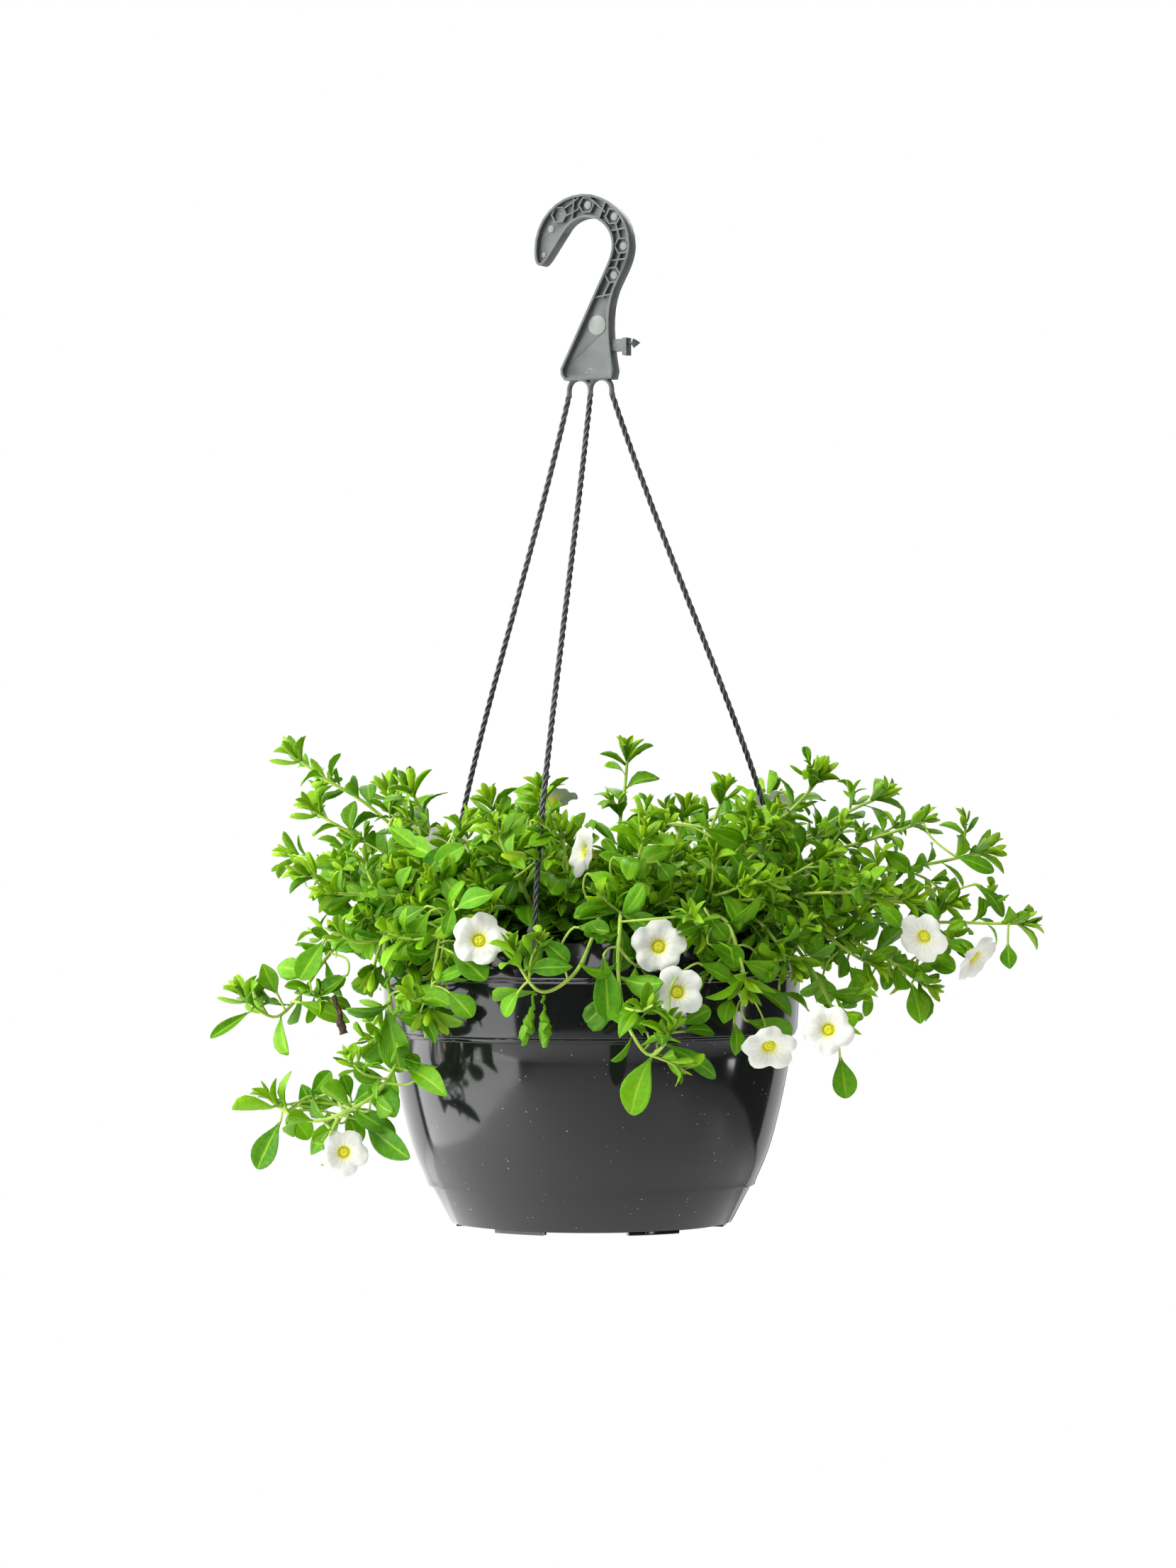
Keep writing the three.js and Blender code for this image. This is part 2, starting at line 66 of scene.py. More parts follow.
# ---- camera: level, three metres in front of the pot ----
CAMERA_DISTANCE = 3000
CAMERA_HEIGHT = 269.8
CAMERA_SIDE = -1.5
LENS = 112.3
SENSOR_WIDTH = 36
FARTHEST_SEEN = 40


def new_object(name, data):
    obj = bpy.data.objects.new(name, data)
    bpy.context.scene.collection.objects.link(obj)
    return obj


camera_data = bpy.data.cameras.new("camera")
camera_data.lens = LENS
camera_data.sensor_width = SENSOR_WIDTH
camera_data.clip_end = FARTHEST_SEEN
camera = new_object("camera", camera_data)
camera.location = place(CAMERA_SIDE, -CAMERA_DISTANCE, CAMERA_HEIGHT)
camera.rotation_euler = (math.pi / 2, 0, 0)
bpy.context.scene.camera = camera


# ---- colour and nodes ----
def linear(sample):
    return sample / 12.92 if sample <= 0.04045 else ((sample + 0.055) / 1.055) ** 2.4


def tone(hex_code):
    samples = [int(hex_code[i : i + 2], 16) / 255 for i in (1, 3, 5)]
    return (*[linear(s) for s in samples], 1.0)


def new_material(name):
    material = bpy.data.materials.new(name)
    material.use_nodes = True
    tree = material.node_tree
    tree.nodes.clear()
    return material, tree


def feed(tree, socket, value):
    """Links a node's output to a socket, or sets the socket to a constant."""
    if isinstance(value, bpy.types.NodeSocket):
        tree.links.new(value, socket)
    else:
        socket.default_value = value


def add(tree, kind, settings=None, **inputs):
    """Adds one node, sets its properties, and fills or links its inputs."""
    node = tree.nodes.new(kind)
    for key, value in (settings or {}).items():
        setattr(node, key, value)
    for key, value in inputs.items():
        numbered = key[0] == "_" and key[1:].isdigit()
        feed(tree, node.inputs[int(key[1:]) if numbered else key.replace("_", " ")], value)
    return node


def ramp(tree, factor, *stops):
    node = add(tree, "ShaderNodeValToRGB", _0=factor)
    elements = node.color_ramp.elements
    while len(elements) < len(stops):
        elements.new(0.5)
    for element, (position, colour) in zip(elements, stops):
        element.position = position
        element.color = tone(colour) if isinstance(colour, str) else (colour, colour, colour, 1)
    return node.outputs["Color"]


def surface(tree, shader):
    add(tree, "ShaderNodeOutputMaterial", Surface=shader)


def blended(tree, factor, first, second, how="MIX"):
    node = add(tree, "ShaderNodeMix", {"data_type": "RGBA", "blend_type": how})
    for socket, value in ((0, factor), (6, first), (7, second)):
        feed(tree, node.inputs[socket], value)
    return node.outputs[2]


def lit_through(tree, shader, colour, share):
    """Finishes a thin living part, which lets a share of the light through in a colour."""
    through = add(tree, "ShaderNodeBsdfTranslucent", Color=colour)
    mixed = add(tree, "ShaderNodeMixShader", Fac=share, _1=shader.outputs[0], _2=through.outputs[0])
    surface(tree, mixed.outputs[0])


# ---- materials ----
def glossy_polypropylene():
    """Anthracite polypropylene from a polished mould: a clean mirror gloss with a slow waviness and dust."""
    material, tree = new_material("glossy_polypropylene_moulded")
    where = add(tree, "ShaderNodeTexCoord").outputs["Object"]
    # dust and lint specks about half a millimetre wide, drawn a little larger than life so that they show
    specks = add(tree, "ShaderNodeTexVoronoi", {"feature": "F1"}, Vector=where, Scale=240.0).outputs["Distance"]
    speck = ramp(tree, specks, (0.0, 1.0), (0.06, 1.0), (0.09, 0.0))
    sparse = add(tree, "ShaderNodeTexNoise", Vector=where, Scale=60.0, Detail=2.0).outputs["Fac"]
    rare = ramp(tree, sparse, (0.53, 0.0), (0.6, 1.0))
    dust = blended(tree, 1.0, speck, rare, "MULTIPLY")
    colour = blended(tree, dust, tone("#141516"), tone("#a9aaa8"))
    wave = add(tree, "ShaderNodeTexNoise", Vector=where, Scale=45.0, Detail=1.0).outputs["Fac"]
    bump = add(tree, "ShaderNodeBump", Strength=0.03, Distance=0.0004, Height=wave)
    haze = ramp(tree, wave, (0.35, 0.08), (0.7, 0.13))
    shader = add(
        tree, "ShaderNodeBsdfPrincipled", Base_Color=colour, Roughness=haze, IOR=1.49,
        Specular_IOR_Level=0.42, Normal=bump.outputs["Normal"],
    )
    surface(tree, shader.outputs["BSDF"])
    return material


def satin_polypropylene(name, dark, light, polish):
    """Grey polypropylene, moulded in a blasted tool: a soft broad sheen, with pale flecks of unmixed pigment."""
    material, tree = new_material(name)
    where = add(tree, "ShaderNodeTexCoord").outputs["Object"]
    fleck = add(tree, "ShaderNodeTexVoronoi", Vector=where, Scale=420.0).outputs["Distance"]
    fleck = ramp(tree, fleck, (0.0, 1.0), (0.1, 0.7), (0.16, 0.0))
    cloud = add(tree, "ShaderNodeTexNoise", Vector=where, Scale=90.0, Detail=3.0).outputs["Fac"]
    rare = ramp(tree, cloud, (0.55, 0.0), (0.62, 1.0))
    flecks = blended(tree, 1.0, fleck, rare, "MULTIPLY")
    base = ramp(tree, cloud, (0.3, dark), (0.7, light))
    colour = blended(tree, flecks, base, tone("#a4a8a2"))
    grit = add(tree, "ShaderNodeTexNoise", Vector=where, Scale=1400.0, Detail=2.0).outputs["Fac"]
    bump = add(tree, "ShaderNodeBump", Strength=0.1, Distance=0.0002, Height=grit)
    shader = add(
        tree, "ShaderNodeBsdfPrincipled", Base_Color=colour, Roughness=polish, IOR=1.49,
        Normal=bump.outputs["Normal"],
    )
    surface(tree, shader.outputs["BSDF"])
    return material


def moist_peat():
    """Peat potting soil, pressed moist into the pot: near black, with brown fibres and crumbs 1 to 3 mm across."""
    material, tree = new_material("moist_peat")
    where = add(tree, "ShaderNodeTexCoord").outputs["Object"]
    crumbs = add(tree, "ShaderNodeTexVoronoi", Vector=where, Scale=420.0).outputs["Distance"]
    cloud = add(tree, "ShaderNodeTexNoise", Vector=where, Scale=160.0, Detail=6.0, Roughness=0.7).outputs["Fac"]
    colour = ramp(tree, cloud, (0.3, "#1c120b"), (0.55, "#3b281a"), (0.75, "#6b4e35"))
    bump = add(tree, "ShaderNodeBump", Strength=0.9, Distance=0.001, Height=crumbs)
    shader = add(
        tree, "ShaderNodeBsdfPrincipled", Base_Color=colour, Roughness=0.9, Normal=bump.outputs["Normal"]
    )
    surface(tree, shader.outputs["BSDF"])
    return material


def living_leaf():
    """A soft leaf: deeper green when old, yellow-green when young, a pale midrib, light shining through."""
    material, tree = new_material("calibrachoa_leaf")
    mapped = add(tree, "ShaderNodeUVMap", {"uv_map": "leaf_map"}).outputs["UV"]
    across = add(tree, "ShaderNodeSeparateXYZ", Vector=mapped)
    middle = add(tree, "ShaderNodeMath", {"operation": "SUBTRACT"}, _0=across.outputs["Y"], _1=0.5).outputs[0]
    off_rib = add(tree, "ShaderNodeMath", {"operation": "ABSOLUTE"}, _0=middle).outputs[0]
    rib = ramp(tree, off_rib, (0.0, 0.7), (0.03, 0.4), (0.07, 0.0))
    youth = add(tree, "ShaderNodeAttribute", {"attribute_name": "youth"}).outputs["Fac"]
    shade = add(tree, "ShaderNodeAttribute", {"attribute_name": "shade"}).outputs["Fac"]
    where = add(tree, "ShaderNodeTexCoord").outputs["Object"]
    mottle = add(tree, "ShaderNodeTexNoise", Vector=where, Scale=350.0, Detail=3.0).outputs["Fac"]
    aged = ramp(tree, youth, (0.0, "#469400"), (0.5, "#7ab602"), (1.0, "#b2d81c"))
    varied = blended(tree, shade, aged, tone("#1d6600"))
    mottled = blended(tree, 0.16, varied, ramp(tree, mottle, (0.35, "#357004"), (0.65, "#a6cc28")))
    colour = blended(tree, rib, mottled, tone("#a2cc34"))
    # side veins stand about 2 mm apart, and each sinks the blade a little
    along = across.outputs["X"]
    slant = add(tree, "ShaderNodeMath", {"operation": "MULTIPLY_ADD"}, _0=off_rib, _1=-1.4, _2=along).outputs[0]
    veins = add(tree, "ShaderNodeMath", {"operation": "MULTIPLY"}, _0=slant, _1=62.0).outputs[0]
    veins = add(tree, "ShaderNodeMath", {"operation": "SINE"}, _0=veins).outputs[0]
    relief = add(tree, "ShaderNodeMath", {"operation": "MULTIPLY_ADD"}, _0=rib, _1=-2.5, _2=veins).outputs[0]
    bump = add(tree, "ShaderNodeBump", Strength=0.3, Distance=0.00025, Height=relief)
    shader = add(
        tree, "ShaderNodeBsdfPrincipled", Base_Color=colour, Roughness=0.42, IOR=1.4,
        Specular_IOR_Level=0.5, Specular_Tint=(0.9, 1.0, 0.65, 1.0), Normal=bump.outputs["Normal"],
    )
    lit_through(tree, shader, blended(tree, 0.35, colour, tone("#bce40c")), 0.28)
    return material


def living_stem():
    """A juicy pale stem with fine hairs: light yellow-green, a little darker in patches."""
    material, tree = new_material("calibrachoa_stem")
    where = add(tree, "ShaderNodeTexCoord").outputs["Object"]
    patch = add(tree, "ShaderNodeTexNoise", Vector=where, Scale=120.0, Detail=3.0).outputs["Fac"]
    colour = ramp(tree, patch, (0.3, "#86aa24"), (0.6, "#a6c43a"), (0.8, "#c2d860"))
    hairs = add(tree, "ShaderNodeTexNoise", Vector=where, Scale=1800.0, Detail=2.0).outputs["Fac"]
    bump = add(tree, "ShaderNodeBump", Strength=0.3, Distance=0.0002, Height=hairs)
    shader = add(
        tree, "ShaderNodeBsdfPrincipled", Base_Color=colour, Roughness=0.5, Sheen_Weight=0.3,
        Normal=bump.outputs["Normal"],
    )
    lit_through(tree, shader, colour, 0.15)
    return material


VEINS = 15


def white_petal():
    """A thin matt petal: white, faint green-grey veins, a yellow throat, light shining through."""
    material, tree = new_material("white_petal")
    mapped = add(tree, "ShaderNodeUVMap", {"uv_map": "petal_map"}).outputs["UV"]
    parts = add(tree, "ShaderNodeSeparateXYZ", Vector=mapped)
    turn, reach = parts.outputs["X"], parts.outputs["Y"]
    # three veins a petal, thinning out towards the edge
    comb = add(tree, "ShaderNodeMath", {"operation": "MULTIPLY"}, _0=turn, _1=VEINS * 2 * math.pi).outputs[0]
    comb = add(tree, "ShaderNodeMath", {"operation": "COSINE"}, _0=comb).outputs[0]
    line = ramp(tree, comb, (0.0, 0.0), (0.8, 0.0), (1.0, 1.0))
    fade = ramp(tree, reach, (0.2, 0.6), (0.5, 0.35), (0.85, 0.0))
    vein = blended(tree, 1.0, line, fade, "MULTIPLY")
    throat = ((0.0, "#e6ea30"), (0.17, "#ecec30"), (0.25, "#eae65c"))
    body = ramp(tree, reach, *throat, (0.32, "#e8e7c8"), (0.46, "#dedfd7"))
    colour = blended(tree, vein, body, tone("#b3b690"))
    relief = add(tree, "ShaderNodeMath", {"operation": "MULTIPLY"}, _0=vein, _1=-1.0).outputs[0]
    bump = add(tree, "ShaderNodeBump", Strength=0.35, Distance=0.0003, Height=relief)
    shader = add(
        tree, "ShaderNodeBsdfPrincipled", Base_Color=colour, Roughness=0.62, Sheen_Weight=0.2,
        Normal=bump.outputs["Normal"],
    )
    lit_through(tree, shader, colour, 0.22)
    return material


POT_FINISH = glossy_polypropylene()
HOOK_FINISH = satin_polypropylene("satin_polypropylene_hook", "#3d4240", "#4c514e", 0.4)
STRAND_FINISH = satin_polypropylene("satin_polypropylene_strand", "#282b2a", "#353837", 0.27)
# the ejector pads' lighter colours are a painted sheen, standing in for the light their glossier tops reflect
MARK_SHEEN_FINISH = satin_polypropylene("satin_polypropylene_ejector_marks_painted_sheen", "#686d6a", "#767b77", 0.35)
SOIL_FINISH = moist_peat()
LEAF_FINISH = living_leaf()
STEM_FINISH = living_stem()
PETAL_FINISH = white_petal()


# ---- modelling by hand ----
def deselect_all():
    if bpy.context.object and bpy.context.object.mode != "OBJECT":
        bpy.ops.object.mode_set(mode="OBJECT")
    bpy.ops.object.select_all(action="DESELECT")


def select_only(obj):
    deselect_all()
    obj.select_set(True)
    bpy.context.view_layer.objects.active = obj


def edit(obj, kind, chosen):
    """Enters edit mode with only the chosen vertices, edges or faces selected. kind is VERT, EDGE or FACE."""
    select_only(obj)
    bpy.context.tool_settings.mesh_select_mode = [kind == each for each in ("VERT", "EDGE", "FACE")]
    mesh = obj.data
    for parts in (mesh.vertices, mesh.edges, mesh.polygons):
        parts.foreach_set("select", [False] * len(parts))
    for part in {"VERT": mesh.vertices, "EDGE": mesh.edges, "FACE": mesh.polygons}[kind]:
        part.select = bool(chosen(part))
    bpy.ops.object.mode_set(mode="EDIT")


def settle(obj):
    """Puts the piece's place, turn and size into its mesh."""
    select_only(obj)
    bpy.ops.object.transform_apply(location=True, rotation=True, scale=True)


def finish_with(obj, kind, **settings):
    select_only(obj)
    modifier = obj.modifiers.new(kind.lower(), kind)
    for key, value in settings.items():
        setattr(modifier, key, value)
    bpy.ops.object.modifier_apply(modifier=modifier.name)


def round_edges(obj, width, degrees=50):
    limit = math.radians(degrees)
    finish_with(obj, "BEVEL", width=width * MM, segments=2, limit_method="ANGLE", angle_limit=limit)


def block(size, location, turn=0.0):
    """A box of a size in millimetres, centred on a place and turned about the upright by degrees."""
    deselect_all()
    bpy.ops.mesh.primitive_cube_add(size=1, location=location)
    box = bpy.context.object
    box.scale = Vector(size) * MM
    box.rotation_euler.z = math.radians(turn)
    settle(box)
    return box


def clean(obj, distance=1e-6):
    select_only(obj)
    bpy.ops.object.mode_set(mode="EDIT")
    bpy.ops.mesh.select_all(action="SELECT")
    bpy.ops.mesh.remove_doubles(threshold=distance)
    bpy.ops.mesh.normals_make_consistent(inside=False)
    bpy.ops.object.mode_set(mode="OBJECT")


def smooth(obj, degrees):
    select_only(obj)
    bpy.ops.object.shade_smooth_by_angle(angle=math.radians(degrees))


def join(objects):
    deselect_all()
    for obj in objects:
        obj.select_set(True)
    bpy.context.view_layer.objects.active = objects[0]
    bpy.ops.object.join()
    return bpy.context.object


def hand_over(obj, name, finish, slot, *nodes):
    """Names a finished piece, gives it its material, and lets it ride on the basket."""
    obj.name = name
    obj.data.name = name
    obj.data.materials.clear()
    obj.data.materials.append(finish)
    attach(obj, "root")
    if nodes:
        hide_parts(*nodes)
    return obj


def turned(profile, steps):
    """A ring drawn out along a closed or axis-to-axis profile of (radius, height), as on a lathe."""
    deselect_all()
    bpy.context.tool_settings.mesh_select_mode = (True, False, False)
    (radius, height), *rest = profile
    bpy.ops.mesh.primitive_circle_add(
        vertices=steps, radius=max(radius, 0.01) * MM, location=place(0, 0, height), enter_editmode=True
    )
    obj = bpy.context.object
    for next_radius, next_height in rest:
        bpy.ops.mesh.extrude_region_move(TRANSFORM_OT_translate={"value": (0, 0, (next_height - height) * MM)})
        grow = max(next_radius, 0.01) / max(radius, 0.01)
        bpy.ops.transform.resize(value=(grow, grow, 1), center_override=place(0, 0, next_height))
        radius, height = next_radius, next_height
    bpy.ops.object.mode_set(mode="OBJECT")
    settle(obj)
    clean(obj, 3e-5)
    return obj


# ---- pot ----
ROUND = 144
WALL = 1.5
SHELF_Z = 162
COLLAR_R = 124.4
RIM_TOP = 176
CLIP_TURNS = {"front": -15, "right": 105, "left": -135}
CLIP_R = 125.9
CLIP_SIZE = (10, 1.8)
CLIP_SLOT = (11, 2.8, 5)
CLIP_TOP = 187
CLIP_BOTTOM = 154

POT_OUTSIDE = [
    (100.7, 25.2), (101.2, 27), (102.6, 30.5), (106.4, 39), (108.8, 45.2), (110.9, 51.6), (113.0, 59),
    (114.7, 66), (116.4, 73), (117.9, 80), (119.3, 87), (120.6, 94), (122.3, 105), (123.8, 116.4),
    (125.3, 117), (125.5, 118.4), (126.2, 118.9), (125.7, 119.5), (126.7, 120.2), (127.6, 135),
    (128.4, 152.2), (129.0, 152.8), (128.4, 153.4), (128.5, 154.5), (129.1, 155.1), (128.6, 155.7),
    (128.8, SHELF_Z), (COLLAR_R, SHELF_Z), (COLLAR_R, RIM_TOP),
]
POT_INSIDE = [
    (COLLAR_R - WALL, RIM_TOP), (COLLAR_R - WALL, SHELF_Z - WALL), (127.2, SHELF_Z - WALL),
    (125.2, 121.5), (122.4, 118), (119.1, 94), (113.2, 66), (104.9, 39), (100.4, 31), (0, 31),
]
POT_UNDERSIDE = [(0, 29.5), (99.2, 29.5), (99.2, 25.2)]


def on_ring(turn, radius, z):
    angle = math.radians(turn)
    return place(radius * math.sin(angle), -radius * math.cos(angle), z)


def make_pot():
    shell = turned(POT_UNDERSIDE + POT_OUTSIDE + POT_INSIDE, ROUND)
    for turn in CLIP_TURNS.values():
        cutter = block(CLIP_SLOT, on_ring(turn, CLIP_R, SHELF_Z - 1), turn)
        finish_with(shell, "BOOLEAN", object=cutter, operation="DIFFERENCE", solver="EXACT")
        bpy.data.objects.remove(cutter)
    round_edges(shell, 0.3)
    smooth(shell, 40)
    return hand_over(shell, "pot_shell", POT_FINISH, "pot_plastic", "pot")


SAUCER = [
    (0, 2), (84, 2), (86.4, 2.5), (87.4, 4), (98.3, 24.6), (98.5, 25.2), (98.5, 28.6), (97, 28.6),
    (97, 25.2), (86, 5.2), (84, 4), (0, 4),
]
FEET = 6
FOOT_SPAN = 24
FIRST_FOOT = 98
FOOT_RING_R = 80
# the thin slice that is spun into a foot: radial width, thickness and height
FOOT_START = (6, 0.2, 2.5)


def make_saucer():
    dish = turned(SAUCER, ROUND)
    feet = []
    for i in range(FEET):
        foot = block(FOOT_START, place(FOOT_RING_R, 0, FOOT_START[2] / 2))
        edit(foot, "FACE", lambda face: face.normal.y > 0.9)
        span = math.radians(FOOT_SPAN)
        bpy.ops.mesh.spin(steps=6, angle=span, center=place(0, 0, 1), axis=(0, 0, 1), dupli=False)
        bpy.ops.object.mode_set(mode="OBJECT")
        foot.rotation_euler.z = math.radians(360 / FEET * i - FIRST_FOOT - FOOT_SPAN / 2)
        settle(foot)
        clean(foot)
        feet.append(foot)
    saucer = join([dish, *feet])
    round_edges(saucer, 0.3)
    smooth(saucer, 40)
    return hand_over(saucer, "saucer_dish", POT_FINISH, "pot_plastic", "saucer")


# ---- hanger ----
HOOK_TURN = -0.47
HOOK_TOP = 631.5
ROD_SPACING = 14.6
ROD_END = HOOK_TOP - 124
PLIES = 3
PLY_OFFSET = 1.0
PLY_RADIUS = 0.86
PLY_PITCH = 17.0
PLY_STEPS_PER_TURN = 14

# The round pads that the ejector pins leave: (along the hook's face, below its top, radius).
EJECTOR_MARKS = [
    (-1, 6.8, 2.5),
    (17.2, 14.7, 2.5),
    (23.4, 33, 2.5),
    (17, 50.6, 2.5),
    (-26.6, 20, 2.2),
    (-31.6, 36, 1.6),
    (5.2, 80.6, 6),
]


def paint_sheen_on_marks(hook):
    """Gives the flat tops of the ejector pads their smoother finish, and a lighter colour that is a painted sheen,
    standing in for the gloss they catch.
    """
    hook.data.materials.append(MARK_SHEEN_FINISH)
    along = Vector((math.cos(HOOK_TURN), math.sin(HOOK_TURN), 0))
    outward = Vector((math.sin(HOOK_TURN), -math.cos(HOOK_TURN), 0))
    for face in hook.data.polygons:
        if face.normal.dot(outward) < 0.95:
            continue
        corners = [hook.data.vertices[i].co for i in face.vertices]
        for across, drop, radius in EJECTOR_MARKS:
            level = place(0, 0, HOOK_TOP - drop).z
            reaches = [math.hypot(co.dot(along) - across * MM, co.z - level) for co in corners]
            if max(reaches) < (radius + 0.1) * MM:
                # the pad's face takes the lighter colour, a painted sheen
                face.material_index = 1


def make_hook():
    hook = new_object("hook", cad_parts["hanger_hook"].data.copy())
    select_only(hook)
    bpy.ops.object.mode_set(mode="EDIT")
    bpy.ops.mesh.select_all(action="SELECT")
    bpy.ops.mesh.remove_doubles(threshold=1e-5)
    bpy.ops.object.mode_set(mode="OBJECT")
    round_edges(hook, 0.35, 45)
    smooth(hook, 35)
    hand_over(hook, "hook_moulding", HOOK_FINISH, "hanger_plastic", "hanger_hook")
    paint_sheen_on_marks(hook)


def bezier_point(route, t):
    a, b, c, d = route
    s = 1 - t
    return a * s**3 + b * 3 * s * s * t + c * 3 * s * t * t + d * t**3


def even_points(line, spacing):
    """Points along a finely sampled line, a set distance apart."""
    lengths = [0.0]
    for before, after in zip(line, line[1:]):
        lengths.append(lengths[-1] + (after - before).length)
    count = max(2, round(lengths[-1] / spacing))
    points, i = [], 0
    for k in range(count + 1):
        target = lengths[-1] * k / count
        while i < len(lengths) - 2 and lengths[i + 1] < target:
            i += 1
        share = (target - lengths[i]) / max(lengths[i + 1] - lengths[i], 1e-9)
        points.append(line[i].lerp(line[i + 1], min(share, 1)))
    return points


def tangents(points):
    last = len(points) - 1
    return [(points[min(i + 1, last)] - points[max(i - 1, 0)]).normalized() for i in range(len(points))]


def rod_along(lines, radii, sides):
    """Round rods that follow lines of points, as one mesh. radii is one radius, or one for each point."""
    deselect_all()
    data = bpy.data.curves.new("rods", "CURVE")
    data.dimensions = "3D"
    data.bevel_depth = 1.0
    data.bevel_resolution = max(0, (sides - 4) // 2)
    data.use_fill_caps = True
    for line, radius in zip(lines, radii):
        spline = data.splines.new("POLY")
        spline.points.add(len(line) - 1)
        for i, (point, spot) in enumerate(zip(line, spline.points)):
            spot.co = (*point, 1)
            spot.radius = radius[i] if isinstance(radius, list) else radius
    select_only(new_object("rods", data))
    bpy.ops.object.convert(target="MESH")
    return bpy.context.object


def lay_stems(name, lines, radii):
    """Round green stems along lines of points, as one finished piece."""
    stems = rod_along(lines, radii, 8)
    smooth(stems, 60)
    hand_over(stems, name, STEM_FINISH, "foliage")


def square_to(way, turn, guide=Vector((0.1, 0.2, 1))):
    """A direction square to a line's own, at a turn about it that starts from a guide."""
    side = way.cross(guide).normalized()
    return side * math.cos(turn) + side.cross(way) * math.sin(turn)


def strand_route(side):
    rod = {"front": 0, "right": ROD_SPACING, "left": -ROD_SPACING}[side]
    top = place(rod * math.cos(HOOK_TURN), rod * math.sin(HOOK_TURN), ROD_END + 1.5)
    clip = on_ring(CLIP_TURNS[side], CLIP_R, CLIP_TOP - 4)
    upright = on_ring(CLIP_TURNS[side], CLIP_R, CLIP_TOP + 66)
    return top, top.lerp(clip, 0.4), upright, clip


def make_strand(side):
    route = strand_route(side)
    drawn = [bezier_point(route, i / 200) for i in range(201)]
    line = even_points(drawn, PLY_PITCH * MM / PLY_STEPS_PER_TURN)
    plies = []
    for ply in range(PLIES):
        points = []
        for i, (point, way) in enumerate(zip(line, tangents(line))):
            angle = 2 * math.pi * (ply / PLIES + i / PLY_STEPS_PER_TURN)
            points.append(point + square_to(way, -angle, Vector((0, 1, 0))) * PLY_OFFSET * MM)
        plies.append(points)
    twisted = rod_along(plies, [PLY_RADIUS * MM] * PLIES, 8)
    blade = make_blade(CLIP_TURNS[side])
    strand = join([twisted, blade])
    smooth(strand, 50)
    return hand_over(strand, f"strand_{side}", STRAND_FINISH, "hanger_plastic", f"hanger_strand_{side}")


def make_blade(turn):
    """The flat clip at a strand's end: a plate with round shoulders and a barb that catches under the rim."""
    plate = block((*CLIP_SIZE, CLIP_TOP - CLIP_BOTTOM), place(0, 0, (CLIP_TOP + CLIP_BOTTOM) / 2))
    top = place(0, 0, CLIP_TOP).z

    def upper_corner(edge):
        ends = [plate.data.vertices[i].co for i in edge.vertices]
        return all(abs(co.z - top) < 1e-5 for co in ends) and abs(ends[0].x - ends[1].x) < 1e-6

    edit(plate, "EDGE", upper_corner)
    bpy.ops.mesh.bevel(offset=4.4 * MM, offset_pct=0, segments=7, profile=0.5, affect="EDGES")
    bpy.ops.object.mode_set(mode="OBJECT")
    round_edges(plate, 0.35)
    barb = block((CLIP_SIZE[0] - 2, 1.6, 2), place(0, 1.2, CLIP_BOTTOM + 1))
    blade = join([plate, barb])
    blade.rotation_euler.z = math.radians(turn)
    blade.location = on_ring(turn, CLIP_R, SEAT_HEIGHT)
    settle(blade)
    return blade


# ---- soil ----
SOIL_TOP = 157
SOIL_R = 122.3
CRUMBS = 700


def soil_height(x, y):
    away = math.hypot(x, y) / SOIL_R
    lumps = noise.fractal(Vector((x, y, 0)) * 0.06, 1.0, 2.1, 5)
    return SOIL_TOP + 3 * (1 - away * away) + 3.2 * lumps


def make_soil():
    side = [(0, 31.4), (100, 31.4), (104, 39.5), (112.4, 66), (118.2, 94), (121.5, 118), (124.4, 124)]
    crown = [(124.9, 150)] + [(SOIL_R * i / 26, SOIL_TOP) for i in range(26, -1, -1)]
    mound = turned(side + crown, 96)
    ceiling = place(0, 0, SOIL_TOP - 1).z
    for vertex in mound.data.vertices:
        if vertex.co.z > ceiling:
            x, y = vertex.co.x / MM, vertex.co.y / MM
            vertex.co.z = place(0, 0, soil_height(x, y)).z
    draw = random.Random(7)
    deselect_all()
    bpy.ops.mesh.primitive_ico_sphere_add(subdivisions=1, radius=1)
    crumb = bpy.context.object
    crumbs = [mound]
    for _ in range(CRUMBS):
        away, turn = SOIL_R * 0.98 * math.sqrt(draw.random()), draw.uniform(0, 2 * math.pi)
        x, y = away * math.cos(turn), away * math.sin(turn)
        size = draw.uniform(0.5, 2.1) * MM
        squeeze = Vector((size * draw.uniform(0.7, 1.9), size, size * draw.uniform(0.5, 0.9)))
        spin = Matrix.Rotation(draw.uniform(0, 6.28), 4, (draw.random(), draw.random(), 1))
        move = Matrix.Translation(place(x, y, soil_height(x, y) + 0.3)) @ spin @ Matrix.Diagonal((*squeeze, 1))
        crumbs.append(new_object("crumb", crumb.data.copy()))
        crumbs[-1].data.transform(move)
    bpy.data.objects.remove(crumb)
    soil = join(crumbs)
    smooth(soil, 60)
    return hand_over(soil, "soil_surface", SOIL_FINISH, "potting_soil", "soil")


